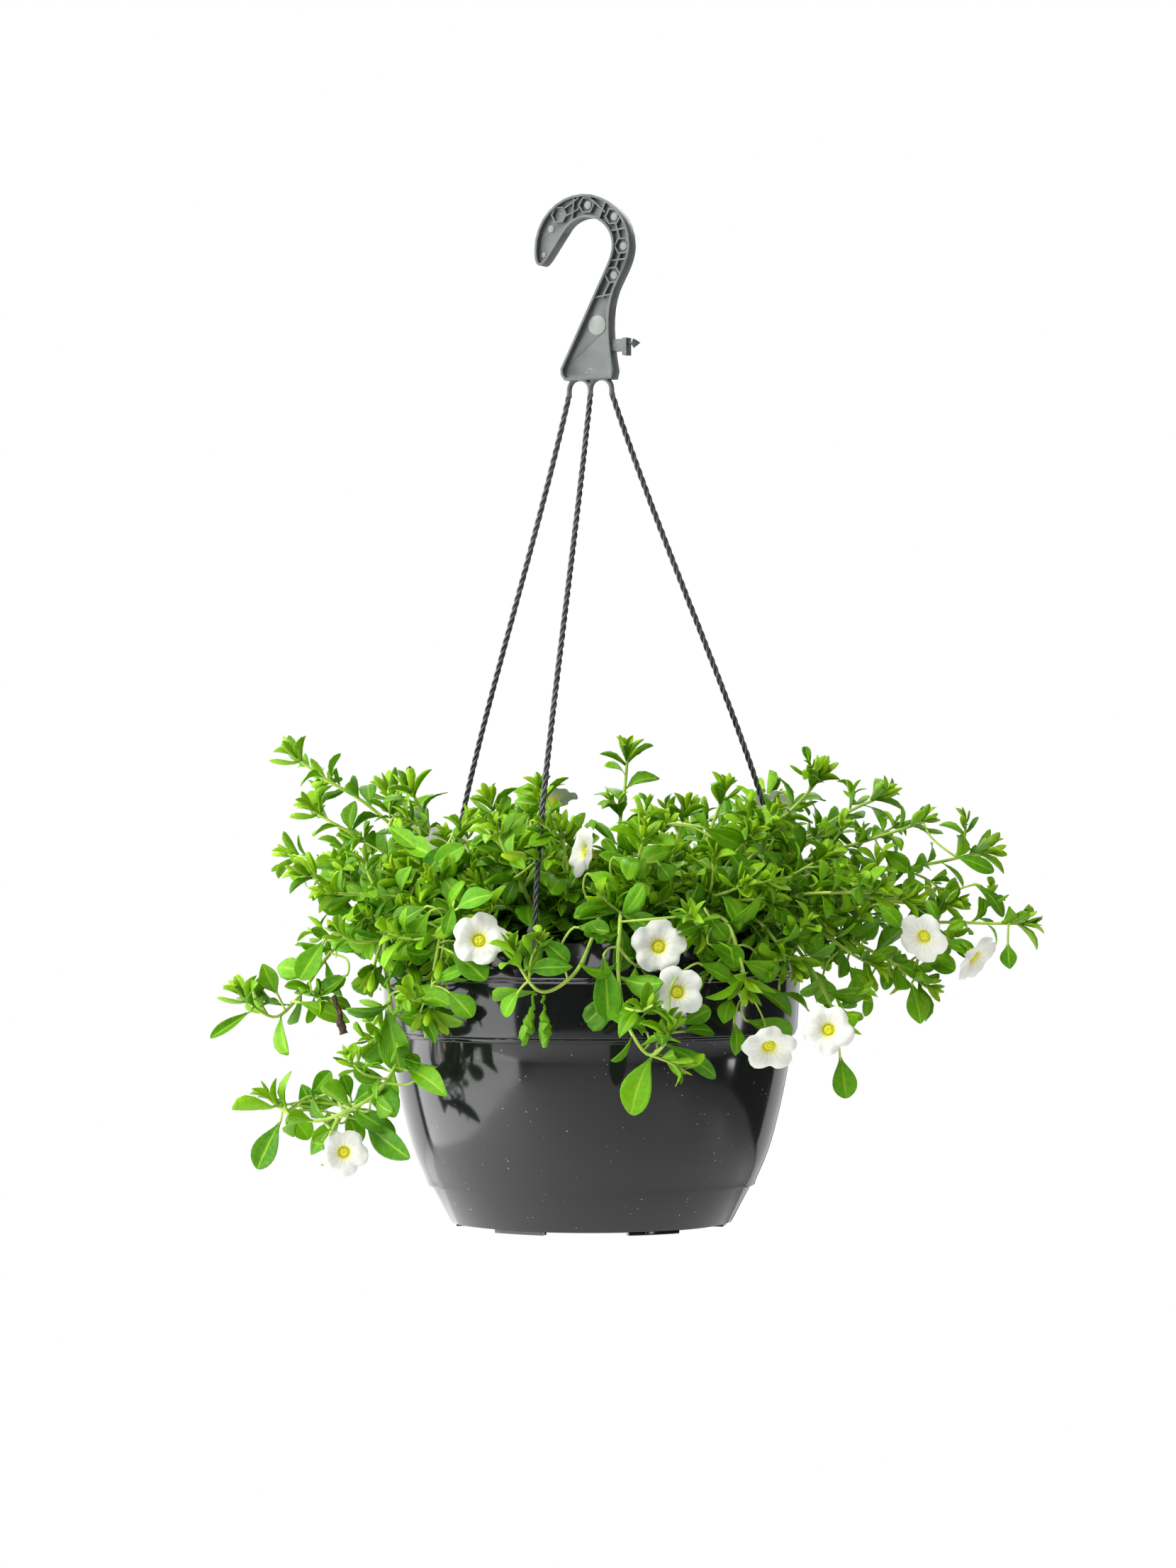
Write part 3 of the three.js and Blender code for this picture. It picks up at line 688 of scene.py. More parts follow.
# ---- flowers: mouth, the way it faces, and its share of full size ----
FLOWERS = [
    ((-65, -136, 179), (0.1, -1, 0.25), 1.0),
    ((40, -139, 175), (0.05, -1, 0.1), 1.0),
    ((51, -151, 149), (0.15, -1, 0.15), 0.97),
    ((-146, -100, 51), (0.1, -1, -0.1), 0.88),
    ((105, -136, 114), (0.1, -0.8, -0.6), 1.0),
    ((139, -138, 126), (-0.1, -1, 0.05), 0.92),
    ((197, -92, 178), (-0.45, -0.8, -0.3), 0.95),
    ((233, -58, 164), (0.7, -0.5, -0.6), 1.0),
    ((-6, -92, 230), (-1, -0.45, 0.2), 1.0),
    ((-24, 10, 263), (0, 0.4, 1), 1.0),
    ((-86, -44, 232), (0.3, -0.7, 0.6), 1.0),
    ((118, 60, 258), (0.2, 0.6, 1), 0.95),
    ((-60, 152, 196), (-0.3, 1, 0.3), 1.0),
    ((88, 158, 186), (0.3, 1, 0.2), 0.97),
]
FLOWER_R = 16.5


# ---- leaves ----
LEAF_REACH = 16 * MM
# A blade's outline from stalk to tip: how far along, and the half width as a share of the widest.
BROAD_LEAF = ((0, 0.1), (0.13, 0.14), (0.33, 0.6), (0.54, 0.95), (0.74, 1.0), (0.91, 0.7), (1, 0.16))
POINTED_LEAF = ((0, 0.13), (0.14, 0.2), (0.34, 0.74), (0.55, 1.0), (0.75, 0.82), (0.91, 0.4), (1, 0.06))
NARROW_LEAF = ((0, 0.3), (0.25, 0.6), (0.52, 1.0), (0.76, 0.9), (0.92, 0.5), (1, 0.1))


def model_leaf(name, outline, rows, arch, fold, twist):
    """A leaf blade one unit long and one wide, shaped from a flat grid and given a thin wall."""
    deselect_all()
    columns = len(outline)
    bpy.ops.mesh.primitive_grid_add(
        x_subdivisions=columns - 1, y_subdivisions=rows, size=1, location=(0.5, 0, 0), calc_uvs=True
    )
    leaf = bpy.context.object
    settle(leaf)
    leaf.data.uv_layers[0].name = "leaf_map"
    for i in reversed(range(columns)):
        even, (along, half) = i / (columns - 1), outline[i]
        edit(leaf, "VERT", lambda vertex: abs(vertex.co.x - even) < 1e-4)
        lift = arch * (along - along * along * 1.35)
        bpy.ops.transform.resize(value=(1, half, 1), center_override=(even, 0, 0))
        bpy.ops.transform.rotate(value=twist * along, orient_axis="X", center_override=(even, 0, 0))
        bpy.ops.transform.translate(value=(along - even + 1e-3 * (i % 2), 0, lift))
        bpy.ops.object.mode_set(mode="OBJECT")
    for vertex in leaf.data.vertices:
        vertex.co.z += fold * abs(vertex.co.y)
    finish_with(leaf, "SOLIDIFY", thickness=0.014, offset=0)
    clean(leaf, 1e-5)
    for face in leaf.data.polygons:
        face.use_smooth = True
    leaf.name = name
    return leaf


BROAD = [
    model_leaf("broad_leaf_flat", BROAD_LEAF, 4, 0.22, 0.22, 0.0),
    model_leaf("broad_leaf_arched", BROAD_LEAF, 4, 0.55, 0.1, 0.35),
    model_leaf("broad_leaf_cupped", BROAD_LEAF, 4, -0.12, 0.4, -0.25),
    model_leaf("pointed_leaf_arched", POINTED_LEAF, 4, 0.42, 0.2, -0.3),
]
LARGE = []
for shape in BROAD:
    LARGE.append(new_object("large_leaf", shape.data.copy()))
    finish_with(LARGE[-1], "SUBSURF", levels=1, render_levels=1)
NARROW = [
    model_leaf("narrow_leaf_straight", NARROW_LEAF, 2, 0.2, 0.35, 0.1),
    model_leaf("narrow_leaf_curled", NARROW_LEAF, 2, -0.35, 0.3, -0.2),
]


def frame_for(origin, direction, face, size, width, thickness):
    """The matrix that puts a leaf's length along a direction with its upper side towards face."""
    x = direction.normalized()
    y = face.cross(x)
    if y.length < 1e-3:
        y = Vector((0, 1, 0)).cross(x)
    y.normalize()
    z = x.cross(y)
    turn = Matrix((x, y, z)).transposed().to_4x4()
    return Matrix.Translation(origin) @ turn @ Matrix.Diagonal((size, width, thickness, 1))


def tint(obj, youth, shade):
    """Writes how young and how shaded a green part is, for its finish to read."""
    for name, value in (("youth", youth), ("shade", shade)):
        layer = obj.data.attributes.new(name, "FLOAT", "POINT")
        layer.data.foreach_set("value", [value] * len(obj.data.vertices))


def lay_leaf(shape, move, youth, shade):
    leaf = new_object("leaf", shape.data.copy())
    leaf.data.transform(move)
    tint(leaf, youth, shade)
    return leaf


def hides_a_flower(point):
    """True in front of a flower's mouth, where a leaf would cover it."""
    for mouth, faces, size in FLOWERS:
        away = point - place(*mouth)
        if away.length < FLOWER_R * size * 1.15 * MM and away.dot(Vector(faces).normalized()) > -5 * MM:
            return True
    return False


def strays_outside(point):
    """True further outside the frame's box than a leaf tip may reach."""
    return any(not low - LEAF_REACH < at < high + LEAF_REACH for at, low, high in zip(point, CAD_LOW, CAD_HIGH))


def leafy(draw, point, way, turn, size, lean, youth, kinds, slim):
    """One leaf set on a stem at a turn about it, leaning along it, its upper side tilted to the light."""
    out = square_to(way, turn)
    direction = (out + way * lean + Vector((0, 0, 0.12))).normalized()
    stray = Vector((draw.gauss(0, 0.3), draw.gauss(0, 0.3) - 0.12, draw.gauss(0, 0.2)))
    face = (way * 0.7 + Vector((0, 0, 0.5)) - out * 0.25 + stray).normalized()
    width = size * slim * draw.uniform(0.88, 1.12)
    shape, shade = draw.choice(kinds), draw.random() ** 2 * 0.9
    reach = direction * size * MM
    if hides_a_flower(point + reach * 0.6) or strays_outside(point + reach):
        return []
    move = frame_for(point, direction, face, size * MM, width * MM, size * MM)
    return [lay_leaf(shape, move, youth, shade)]


# ---- shoots: the same tips and stem lines as the frame's ----
GOLDEN = math.radians(137.5)
LEAF_SPACING = 8.5
STEM_R = 1.5
STEM_TAPER = 0.6
SIDE_STEM_R = 0.8
LEAF_STALK_R = 0.7
FLOWER_STALK_R = 0.6
# leaf lengths at a stem's foot and tip, for the frame's shoots and for the fill between them
OLDEST_LEAF = 33
YOUNGEST_LEAF = 17
YOUNGEST_TRAILING_LEAF = 24
FILL_LEAVES = (31, 20)
# the share of a stem that is bare from its foot
BARE = 0.16
BARE_LOOP = 0.8
BARE_FILL = 0.2
# the leaf length and the number of leaves at the tip of a shoot and of a side shoot
TIP_ROSETTE = (19, 9)
SIDE_ROSETTE = (15, 6)
SOIL_Z = 156
RIM_CLEAR_Z = RIM_TOP + 13
RISING_TIPS = [
    (-183, -22, 288), (-174, 12, 255), (-112, -44, 270), (-128, 34, 268), (-174, -52, 216),
    (-158, -104, 206), (-86, -66, 238), (-62, -16, 262), (-30, -48, 268), (23, -12, 291),
    (44, -82, 247), (60, 4, 256), (84, 34, 266), (143, -10, 277), (112, -36, 254), (182, 22, 264),
    (206, -12, 248), (246, 8, 228), (266, -32, 184), (174, -108, 207), (106, -112, 204),
    (18, -112, 206), (-40, 62, 256),
]
# A trailing shoot that wanders has the points along its stem instead of its tip: one dips and turns up, one hangs and
# forks out to the left, one loops under the front clip, and one curls up again below the flowers.
TRAILING_TIPS = [
    [
        (-80, -19, 174), (-109, -26, 193), (-134, -33, 190), (-158, -40, 165), (-178, -46, 140),
        (-191, -49, 130), (-201, -52, 135), (-212, -54, 146),
    ],
    [
        (-80, -27, 174), (-106, -44, 193), (-121, -64, 182), (-121, -84, 144), (-115, -98, 110),
        (-126, -106, 87), (-143, -108, 77), (-164, -102, 70), (-181, -96, 74), (-192, -92, 83),
    ],
    [
        (4, -74, 174), (4, -102, 191), (3, -132, 184), (-9, -141, 158), (-28, -144, 148),
        (-41, -148, 162), (-45, -150, 177),
    ],
    [
        (16, -76, 174), (17, -112, 193), (17, -140, 186), (16, -150, 156), (23, -155, 126),
        (34, -158, 113), (43, -162, 120), (46, -164, 133),
    ],
    (92, -132, 148),
    (150, -112, 126),
    (204, -62, 146),
    (-94, -116, 130),
]
LOOPED_SHOOT = TRAILING_TIPS[2]
BACK_TIPS = [
    (30, 208, 196), (58, 226, 262), (86, 190, 150), (108, 214, 238), (133, 200, 120), (152, 218, 226),
]
BACK_PLACES = [
    (reach * math.cos(math.radians(bearing)), reach * math.sin(math.radians(bearing)), z)
    for bearing, reach, z in BACK_TIPS
]
TIPS = RISING_TIPS + TRAILING_TIPS + BACK_PLACES
# Extra leafy shoots between those of the frame, that close the crown and cover the rim.
FRONT_FILL_TIPS = [
    (-132, -82, 152), (-88, -112, 158), (-62, -118, 196), (-104, -84, 196), (-140, -60, 182),
    (66, -124, 176), (120, -112, 158), (170, -84, 160), (70, -96, 204), (136, -80, 196),
    (-20, -96, 214), (-118, -64, 216), (-150, -34, 204), (-58, -88, 228), (30, -108, 196),
    (100, -84, 190), (150, -56, 214), (196, -44, 200), (222, -26, 196), (-12, -60, 240), (78, -40, 232),
]
INNER_FILL = 32


def inner_tips():
    draw = random.Random(31)
    for k in range(INNER_FILL):
        bearing, reach = k * GOLDEN, 34 + 118 * math.sqrt((k + 0.5) / INNER_FILL)
        yield reach * math.cos(bearing) * 1.12, reach * math.sin(bearing), draw.uniform(204, 244)


def curved_through(points, steps=14):
    """A centripetal Catmull-Rom line through points, finely sampled."""
    ends = [points[0] * 2 - points[1], *points, points[-1] * 2 - points[-2]]
    line = []
    for p0, p1, p2, p3 in zip(ends, ends[1:], ends[2:], ends[3:]):
        d0, d1, d2 = (max(math.sqrt((b - a).length), 1e-5) for a, b in ((p0, p1), (p1, p2), (p2, p3)))
        m1 = ((p1 - p0) / d0 - (p2 - p0) / (d0 + d1) + (p2 - p1) / d1) * d1
        m2 = ((p2 - p1) / d1 - (p3 - p1) / (d1 + d2) + (p3 - p2) / d2) * d1
        for i in range(steps):
            t = i / steps
            line.append(
                p1 + m1 * t + (p2 * 3 - p1 * 3 - m1 * 2 - m2) * t * t + (p1 * 2 - p2 * 2 + m1 + m2) * t**3
            )
    return [*line, points[-1]]


def stem_line(tip):
    if isinstance(tip, list):
        root = place(tip[0][0], tip[0][1], SOIL_Z - 5)
        return curved_through([root, *[place(*spot) for spot in tip]])
    x, y, z = tip
    reach = math.hypot(x, y)

    def at(radius, height):
        return place(x / reach * radius, y / reach * radius, height)

    root = min(0.5 * reach, 84)
    points = [at(root, SOIL_Z - 5), at(root + 2, SOIL_Z + 18)]
    if z < RIM_CLEAR_Z:
        points += [at(112, RIM_CLEAR_Z + 3), at(138, RIM_CLEAR_Z - 1)]
        if z < RIM_CLEAR_Z - 30:
            points.append(at(0.45 * 140 + 0.55 * reach, 0.5 * (RIM_CLEAR_Z + z)))
    elif reach > 130:
        points.append(at(0.5 * root + 62, max(RIM_CLEAR_Z + 6, 0.5 * (SOIL_Z + z) + 6)))
    else:
        points.append(at(0.5 * (root + reach), 0.5 * (SOIL_Z + z) + 4))
    return curved_through([*points, place(x, y, z)])


def rosette(draw, point, way, size, count):
    """The crowded young leaves at a shoot's tip."""
    leaves = []
    for i in range(count):
        rise = i / count
        spot = point - way * (1 - rise) * 11 * MM
        length = size * (1.1 - 0.62 * rise) * draw.uniform(0.85, 1.15)
        lean = 0.35 + 2.2 * rise
        leaves += leafy(draw, spot, way, i * GOLDEN, length, lean, 0.55 + 0.45 * rise, NARROW, 0.29)
    return leaves


def side_shoot(draw, point, way, turn, length, size):
    """A short leafy branch from a leaf's angle, that bends up towards the light."""
    out = square_to(way, turn)
    tip = point + (out * 0.75 + way * 0.5 + Vector((0, 0, 0.35))).normalized() * length * MM
    middle = point.lerp(tip, 0.5) + way * length * 0.12 * MM
    line = even_points(curved_through([point, middle, tip], 6), 5.5 * MM)
    ways = tangents(line)
    leaves = []
    for i in range(1, len(line)):
        rise = i / len(line)
        long, youth = size * (1 - 0.35 * rise) * draw.uniform(0.8, 1.15), 0.3 + 0.4 * rise
        leaves += leafy(draw, line[i], ways[i], i * GOLDEN + turn, long, 0.4, youth, BROAD, 0.42)
    leaves += rosette(draw, line[-1], ways[-1], *SIDE_ROSETTE)
    return line, leaves


def grow_shoot(name, seed, route, bare, oldest, youngest, nodes=()):
    """A stem along a route, with leaves set round it, side shoots, and a crowded tip."""
    draw = random.Random(seed)
    line = even_points(route, LEAF_SPACING * MM / 3)
    for i in range(len(line)):
        share = i / len(line)
        line[i] = line[i] + noise.noise_vector(line[i] * 28) * 2.2 * MM * min(1, 4 * share)
    ways = tangents(line)
    lines = [line]
    radii = [[(STEM_R - STEM_TAPER * i / len(line)) * MM for i in range(len(line))]]
    leaves = []
    for step, i in enumerate(range(int(len(line) * bare), len(line) - 3, 3)):
        share = i / len(line)
        size = (oldest + (youngest - oldest) * share) * draw.uniform(0.8, 1.15)
        turn = step * GOLDEN + seed
        leaves += leafy(draw, line[i], ways[i], turn, size, 0.35 + 0.25 * share, 0.6 * share**2, BROAD, 0.5)
        if step % 4 == 1 and share < 0.9:
            long = draw.uniform(18, 46) * (1.1 - 0.5 * share)
            branch, more = side_shoot(draw, line[i], ways[i], turn + 0.5, long, 0.78 * size)
            lines.append(branch)
            radii.append(SIDE_STEM_R * MM)
            leaves += more
    leaves += rosette(draw, line[-1], ways[-1], *TIP_ROSETTE)
    foliage = join(leaves)
    hand_over(foliage, f"{name}_leaves", LEAF_FINISH, "foliage", *nodes)
    lay_stems(f"{name}_stems", lines, radii)
    return line


# ---- large leaves set one by one round the front: x and height of the stalk end and of the tip, and the width ----
SET_LEAVES = [
    (-190, 63, -204, 35, 17), (-187, 71, -173, 53, 15), (-153, 65, -171, 44, 15),
    (-155, 73, -176, 76, 15), (-138, 62, -114, 42, 17), (-137, 90, -121, 68, 18),
    (-172, 78, -160, 93, 11), (-150, 70, -142, 50, 13), (-147, 71, -125, 58, 14),
    (-145, 75, -129, 85, 14), (-151, 74, -158, 82, 10), (-147, 77, -152, 91, 10),
    (-124, 94, -143, 99, 8), (-176, 72, -184, 58, 12), (-166, 66, -177, 84, 13),
    (-104, 92, -112, 104, 10), (-112, 94, -90, 82, 15), (-125, 133, -117, 95, 20),
    (-115, 143, -88, 136, 18), (-88, 143, -73, 128, 16), (-104, 129, -95, 113, 10),
    (-179, 136, -149, 125, 12), (-208, 131, -232, 114, 9), (-192, 141, -201, 158, 13),
    (-149, 153, -168, 139, 13), (-163, 174, -178, 151, 17), (-127, 163, -105, 165, 14),
    (-100, 195, -121, 182, 17), (-98, 192, -111, 172, 15), (-40, 156, -13, 158, 12),
    (-31, 175, -14, 161, 13), (-43, 144, -53, 128, 13), (-10, 182, 11, 179, 11), (8, 165, 11, 126, 18),
    (38, 103, 24, 70, 19), (45, 111, 78, 91, 13), (35, 117, 12, 134, 13), (55, 122, 73, 131, 12),
    (56, 118, 76, 119, 12), (95, 125, 121, 114, 15), (86, 139, 82, 124, 13), (88, 124, 90, 104, 10),
    (96, 147, 124, 129, 13), (119, 154, 117, 171, 14), (128, 171, 142, 163, 14),
    (142, 137, 159, 117, 15), (153, 103, 157, 78, 16), (197, 147, 203, 124, 16),
    (183, 162, 181, 145, 11), (256, 172, 257, 157, 12), (170, 146, 169, 128, 8),
    (188, 159, 205, 151, 10), (238, 208, 254, 190, 12), (223, 226, 247, 217, 11),
    (178, 230, 195, 217, 12), (105, 269, 118, 255, 12), (41, 222, 49, 212, 13),
    (-118, 236, -97, 226, 13), (-87, 234, -99, 217, 14), (-99, 218, -79, 231, 14),
    (-152, 201, -162, 219, 15), (-124, 243, -108, 232, 12), (-82, 193, -62, 203, 14),
    (-84, 196, -89, 177, 10), (-86, 167, -65, 151, 19), (-96, 148, -76, 158, 10),
    (-110, 181, -116, 164, 13), (-138, 188, -152, 172, 12), (-2, 215, 16, 206, 12),
    (14, 225, 34, 213, 12), (49, 188, 70, 190, 11), (69, 243, 91, 233, 13), (82, 232, 97, 211, 14),
    (70, 205, 88, 196, 12), (74, 187, 84, 174, 12), (104, 229, 121, 217, 12), (66, 160, 84, 150, 12),
    (72, 172, 92, 160, 14), (100, 168, 112, 152, 13), (137, 154, 147, 136, 15),
    (116, 142, 134, 132, 10), (158, 158, 170, 146, 12), (150, 190, 166, 178, 12),
    (203, 165, 223, 156, 13), (214, 172, 234, 168, 12), (207, 207, 192, 206, 13),
    (176, 196, 190, 184, 13), (134, 214, 150, 203, 12),
]


FRONT_R = 152
LEAST_FRONT = 60
# how far behind the front a leaf stands: (only above this height, this far back)
STEPS_BACK = ((250, 95), (200, 34))
FARTHEST_BACK = 60


def in_front(x, z, back):
    """The point in front of the pot that the camera sees at (x, z) of the pot's middle plane."""
    y = back - math.sqrt(max(FRONT_R**2 - x * x, LEAST_FRONT**2))
    nearer = 1 + y / CAMERA_DISTANCE
    return place(CAMERA_SIDE + (x - CAMERA_SIDE) * nearer, y, CAMERA_HEIGHT + (z - CAMERA_HEIGHT) * nearer)


def set_leaves(lines):
    """Lays the large leaves with their upper sides outwards, each on a curved stalk from the nearest stem."""
    draw = random.Random(77)
    spots = [spot for line in lines for spot in line[len(line) // 5 :: 2]]
    leaves, stalks = [], []
    for x, z, tip_x, tip_z, width in SET_LEAVES:
        back = next((back for height, back in STEPS_BACK if z > height), 0)
        nod = draw.uniform(1, 7)
        while back < FARTHEST_BACK:
            base, tip = in_front(x, z, back), in_front(tip_x, tip_z, back - nod)
            if not any(hides_a_flower(base.lerp(tip, share)) for share in (0.2, 0.5, 0.8, 1.0)):
                break
            back += 6
        along = tip - base
        face = Vector((draw.gauss(0, 0.25), -1, 0.45 + draw.gauss(0, 0.2)))
        move = frame_for(base, along, face, along.length * 1.04, width * MM, along.length * 0.8)
        leaves.append(lay_leaf(draw.choice(LARGE), move, draw.uniform(0, 0.4), draw.random() ** 2 * 0.8))
        ahead = along.normalized()
        joint = min(spots, key=lambda spot: (spot - base).length + 2 * max(0, (spot - base).dot(ahead)))
        gap = (joint - base).length
        if gap > 2 * MM:
            start = base + ahead * min(3 * MM, gap)
            middle = base.lerp(joint, 0.45) - ahead * 0.2 * gap
            stalks.append(even_points(curved_through([start, base, middle, joint], 8), 3 * MM))
    hand_over(join(leaves), "large_leaves", LEAF_FINISH, "foliage")
    lay_stems("large_leaf_stalks", stalks, [LEAF_STALK_R * MM] * len(stalks))


# ---- a closed bud, two withered flowers and a dry twig ----
BUD = ((-38, -118, 226), (-52, -124, 228), 8)
WITHERED = [((-33, -145, 147), (-39, -147, 118)), ((-27, -144, 147), (-27, -146, 117))]
DRY_TWIG = ((-154, -70, 142), (-147, -72, 120))


def make_bud(lines):
    deselect_all()
    bpy.ops.mesh.primitive_uv_sphere_add(segments=20, ring_count=12, radius=0.5, calc_uvs=True)
    bud = bpy.context.object
    bud.data.uv_layers[0].name = "leaf_map"
    for vertex in bud.data.vertices:
        ridge = 1 + 0.09 * math.cos(5 * math.atan2(vertex.co.y, vertex.co.x))
        taper = 1 - 0.35 * (vertex.co.z + 0.5)
        vertex.co.x *= ridge * taper
        vertex.co.y *= ridge * taper
    base, tip, width = place(*BUD[0]), place(*BUD[1]), BUD[2] * MM
    turn = (tip - base).to_track_quat("Z", "Y").to_matrix().to_4x4()
    size = Matrix.Diagonal((width, width, (tip - base).length * 1.1, 1))
    bud.data.transform(Matrix.Translation(base.lerp(tip, 0.5)) @ turn @ size)
    smooth(bud, 80)
    tint(bud, 1.0, 0.0)
    hand_over(bud, "closed_bud", LEAF_FINISH, "foliage")
    joint = nearest_stem(base, lines)
    line = even_points(curved_through([base, base + (base - tip) * 0.4, joint], 8), 3 * MM)
    lay_stems("closed_bud_stalk", [line], [LEAF_STALK_R * MM])


def make_withered():
    """Limp spent flowers: a thin stalk that widens into a crumpled, twisted bag."""
    lines, radii = [], []
    for top, foot in WITHERED:
        line = even_points([place(*top).lerp(place(*foot), i / 12) for i in range(13)], 1.5 * MM)
        lines.append([spot + noise.noise_vector(spot * 190) * 1.6 * MM for spot in line])
        swell = [max(0.0, i / len(line) - 0.3) / 0.7 for i in range(len(line))]
        bulge = [max(0, math.sin(math.pi * min(1, share * 1.02))) ** 1.3 for share in swell]
        radii.append([(0.8 + 3.0 * out) * MM for out in bulge])
    bags = rod_along(lines, radii, 12)
    for vertex in bags.data.vertices:
        vertex.co += noise.noise_vector(vertex.co * 330) * 2.2 * MM
    smooth(bags, 50)
    tint(bags, 0.5, 0.5)
    hand_over(bags, "withered_flowers", LEAF_FINISH, "foliage")
    top, foot = (place(*end) for end in DRY_TWIG)
    line = even_points([top.lerp(foot, i / 12) for i in range(13)], 1.5 * MM)
    line = [spot + noise.noise_vector(spot * 150) * 2 * MM for spot in line]
    knots = [1.1 + 1.4 * abs(noise.noise(spot * 300)) + 1.2 * i / len(line) for i, spot in enumerate(line)]
    twig = rod_along([line], [[knot * MM for knot in knots]], 12)
    for vertex in twig.data.vertices:
        vertex.co += noise.noise_vector(vertex.co * 500) * 0.7 * MM
    smooth(twig, 40)
    hand_over(twig, "dry_twig", SOIL_FINISH, "foliage")


# ---- flowers ----
LOBES = 5
# (radius, height) from the tube's foot to the petals' edge, the mouth at height 0
TRUMPET = [
    (0.9, -17.5), (1.5, -15), (1.9, -10), (2.9, -6.5), (4.2, -3.6), (5.8, -1.5), (8.6, -0.5),
    (11.8, 0.1), (14.4, 0.1), (16.5, -0.6),
]


def model_flower():
    """A trumpet of five joined round petals, modelled at the origin with its mouth towards +Z."""
    deselect_all()
    bpy.context.tool_settings.mesh_select_mode = (True, False, False)
    radius, height = TRUMPET[0]
    bpy.ops.mesh.primitive_circle_add(vertices=LOBES * 10, radius=radius * MM, enter_editmode=True)
    bpy.ops.transform.translate(value=(0, 0, height * MM))
    for next_radius, next_height in TRUMPET[1:]:
        bpy.ops.mesh.extrude_region_move(TRANSFORM_OT_translate={"value": (0, 0, (next_height - height) * MM)})
        grow = next_radius / radius
        bpy.ops.transform.resize(value=(grow, grow, 1), center_override=(0, 0, next_height * MM))
        radius, height = next_radius, next_height
    bpy.ops.object.mode_set(mode="OBJECT")
    flower = bpy.context.object
    settle(flower)
    mesh = flower.data
    layer = mesh.uv_layers.new(name="petal_map")
    for face in mesh.polygons:
        corners = [mesh.vertices[mesh.loops[i].vertex_index].co for i in face.loop_indices]
        turns = [math.atan2(co.y, co.x) / (2 * math.pi) % 1.0 for co in corners]
        if max(turns) - min(turns) > 0.5:
            turns = [turn + 1 if turn < 0.5 else turn for turn in turns]
        for i, co, turn in zip(face.loop_indices, corners, turns):
            layer.data[i].uv = (turn, math.hypot(co.x, co.y) / (FLOWER_R * MM))
    for vertex in mesh.vertices:
        out = math.hypot(vertex.co.x, vertex.co.y) / (FLOWER_R * MM)
        turn = math.atan2(vertex.co.y, vertex.co.x)
        lobe = abs(math.cos(LOBES * turn / 2))
        spread = max(0.0, out - 0.3) / 0.7
        wave = 0.018 * math.sin(25 * turn) * spread**3
        notch = 1 - 0.2 * spread**2 * (1 - lobe) ** 3.4 - 0.07 * spread * (1 - lobe) + wave
        vertex.co.x *= notch
        vertex.co.y *= notch
        # each petal bows up along its middle, sinks at the seams between petals, and rolls back at its edge
        vertex.co.z += (1.5 * (lobe - 0.6) * spread - 1.1 * spread**4 * lobe) * MM
    finish_with(flower, "SOLIDIFY", thickness=0.28 * MM, offset=0)
    finish_with(flower, "SUBSURF", levels=1, render_levels=1)
    clean(flower, 1e-6)
    # the stamens and stigma stand just inside the throat
    anthers = []
    for i in range(LOBES + 1):
        deselect_all()
        centre = i == LOBES
        away, depth, radius = (0.0, -4.9, 3.5) if centre else (1.5, -3.4, 0.7)
        angle = 2 * math.pi * i / LOBES
        spot = (away * math.cos(angle) * MM, away * math.sin(angle) * MM, depth * MM)
        bpy.ops.mesh.primitive_ico_sphere_add(subdivisions=2, radius=radius * MM, location=spot, calc_uvs=True)
        anther = bpy.context.object
        anther.scale.z = 0.4 if centre else 1.3
        settle(anther)
        anther.data.uv_layers[0].name = "petal_map"
        anther.data.uv_layers[0].data.foreach_set("uv", [0.5 / VEINS, 0.16] * len(anther.data.loops))
        anthers.append(anther)
    flower = join([flower, *anthers])
    for face in flower.data.polygons:
        face.use_smooth = True
    return flower


def model_calyx():
    """Five narrow sepals round the tube's foot."""
    parts = []
    for i in range(LOBES):
        turn = 2 * math.pi * (i + 0.5) / LOBES
        out = Vector((math.cos(turn), math.sin(turn), 0))
        base = out * 1.2 * MM + Vector((0, 0, -18.5 * MM))
        direction = Vector((0, 0, 1)) + out * 0.28
        move = frame_for(base, direction, out, 12 * MM, 2.8 * MM, 9 * MM)
        parts.append(lay_leaf(NARROW[0], move, 0.3, 0.2))
    return join(parts)


def nearest_stem(point, lines):
    candidates = [spot for line in lines for spot in line[len(line) // 4 :: 2]]
    below = [spot for spot in candidates if (spot - point).length > 0.012]
    return min(below, key=lambda spot: (spot - point).length)


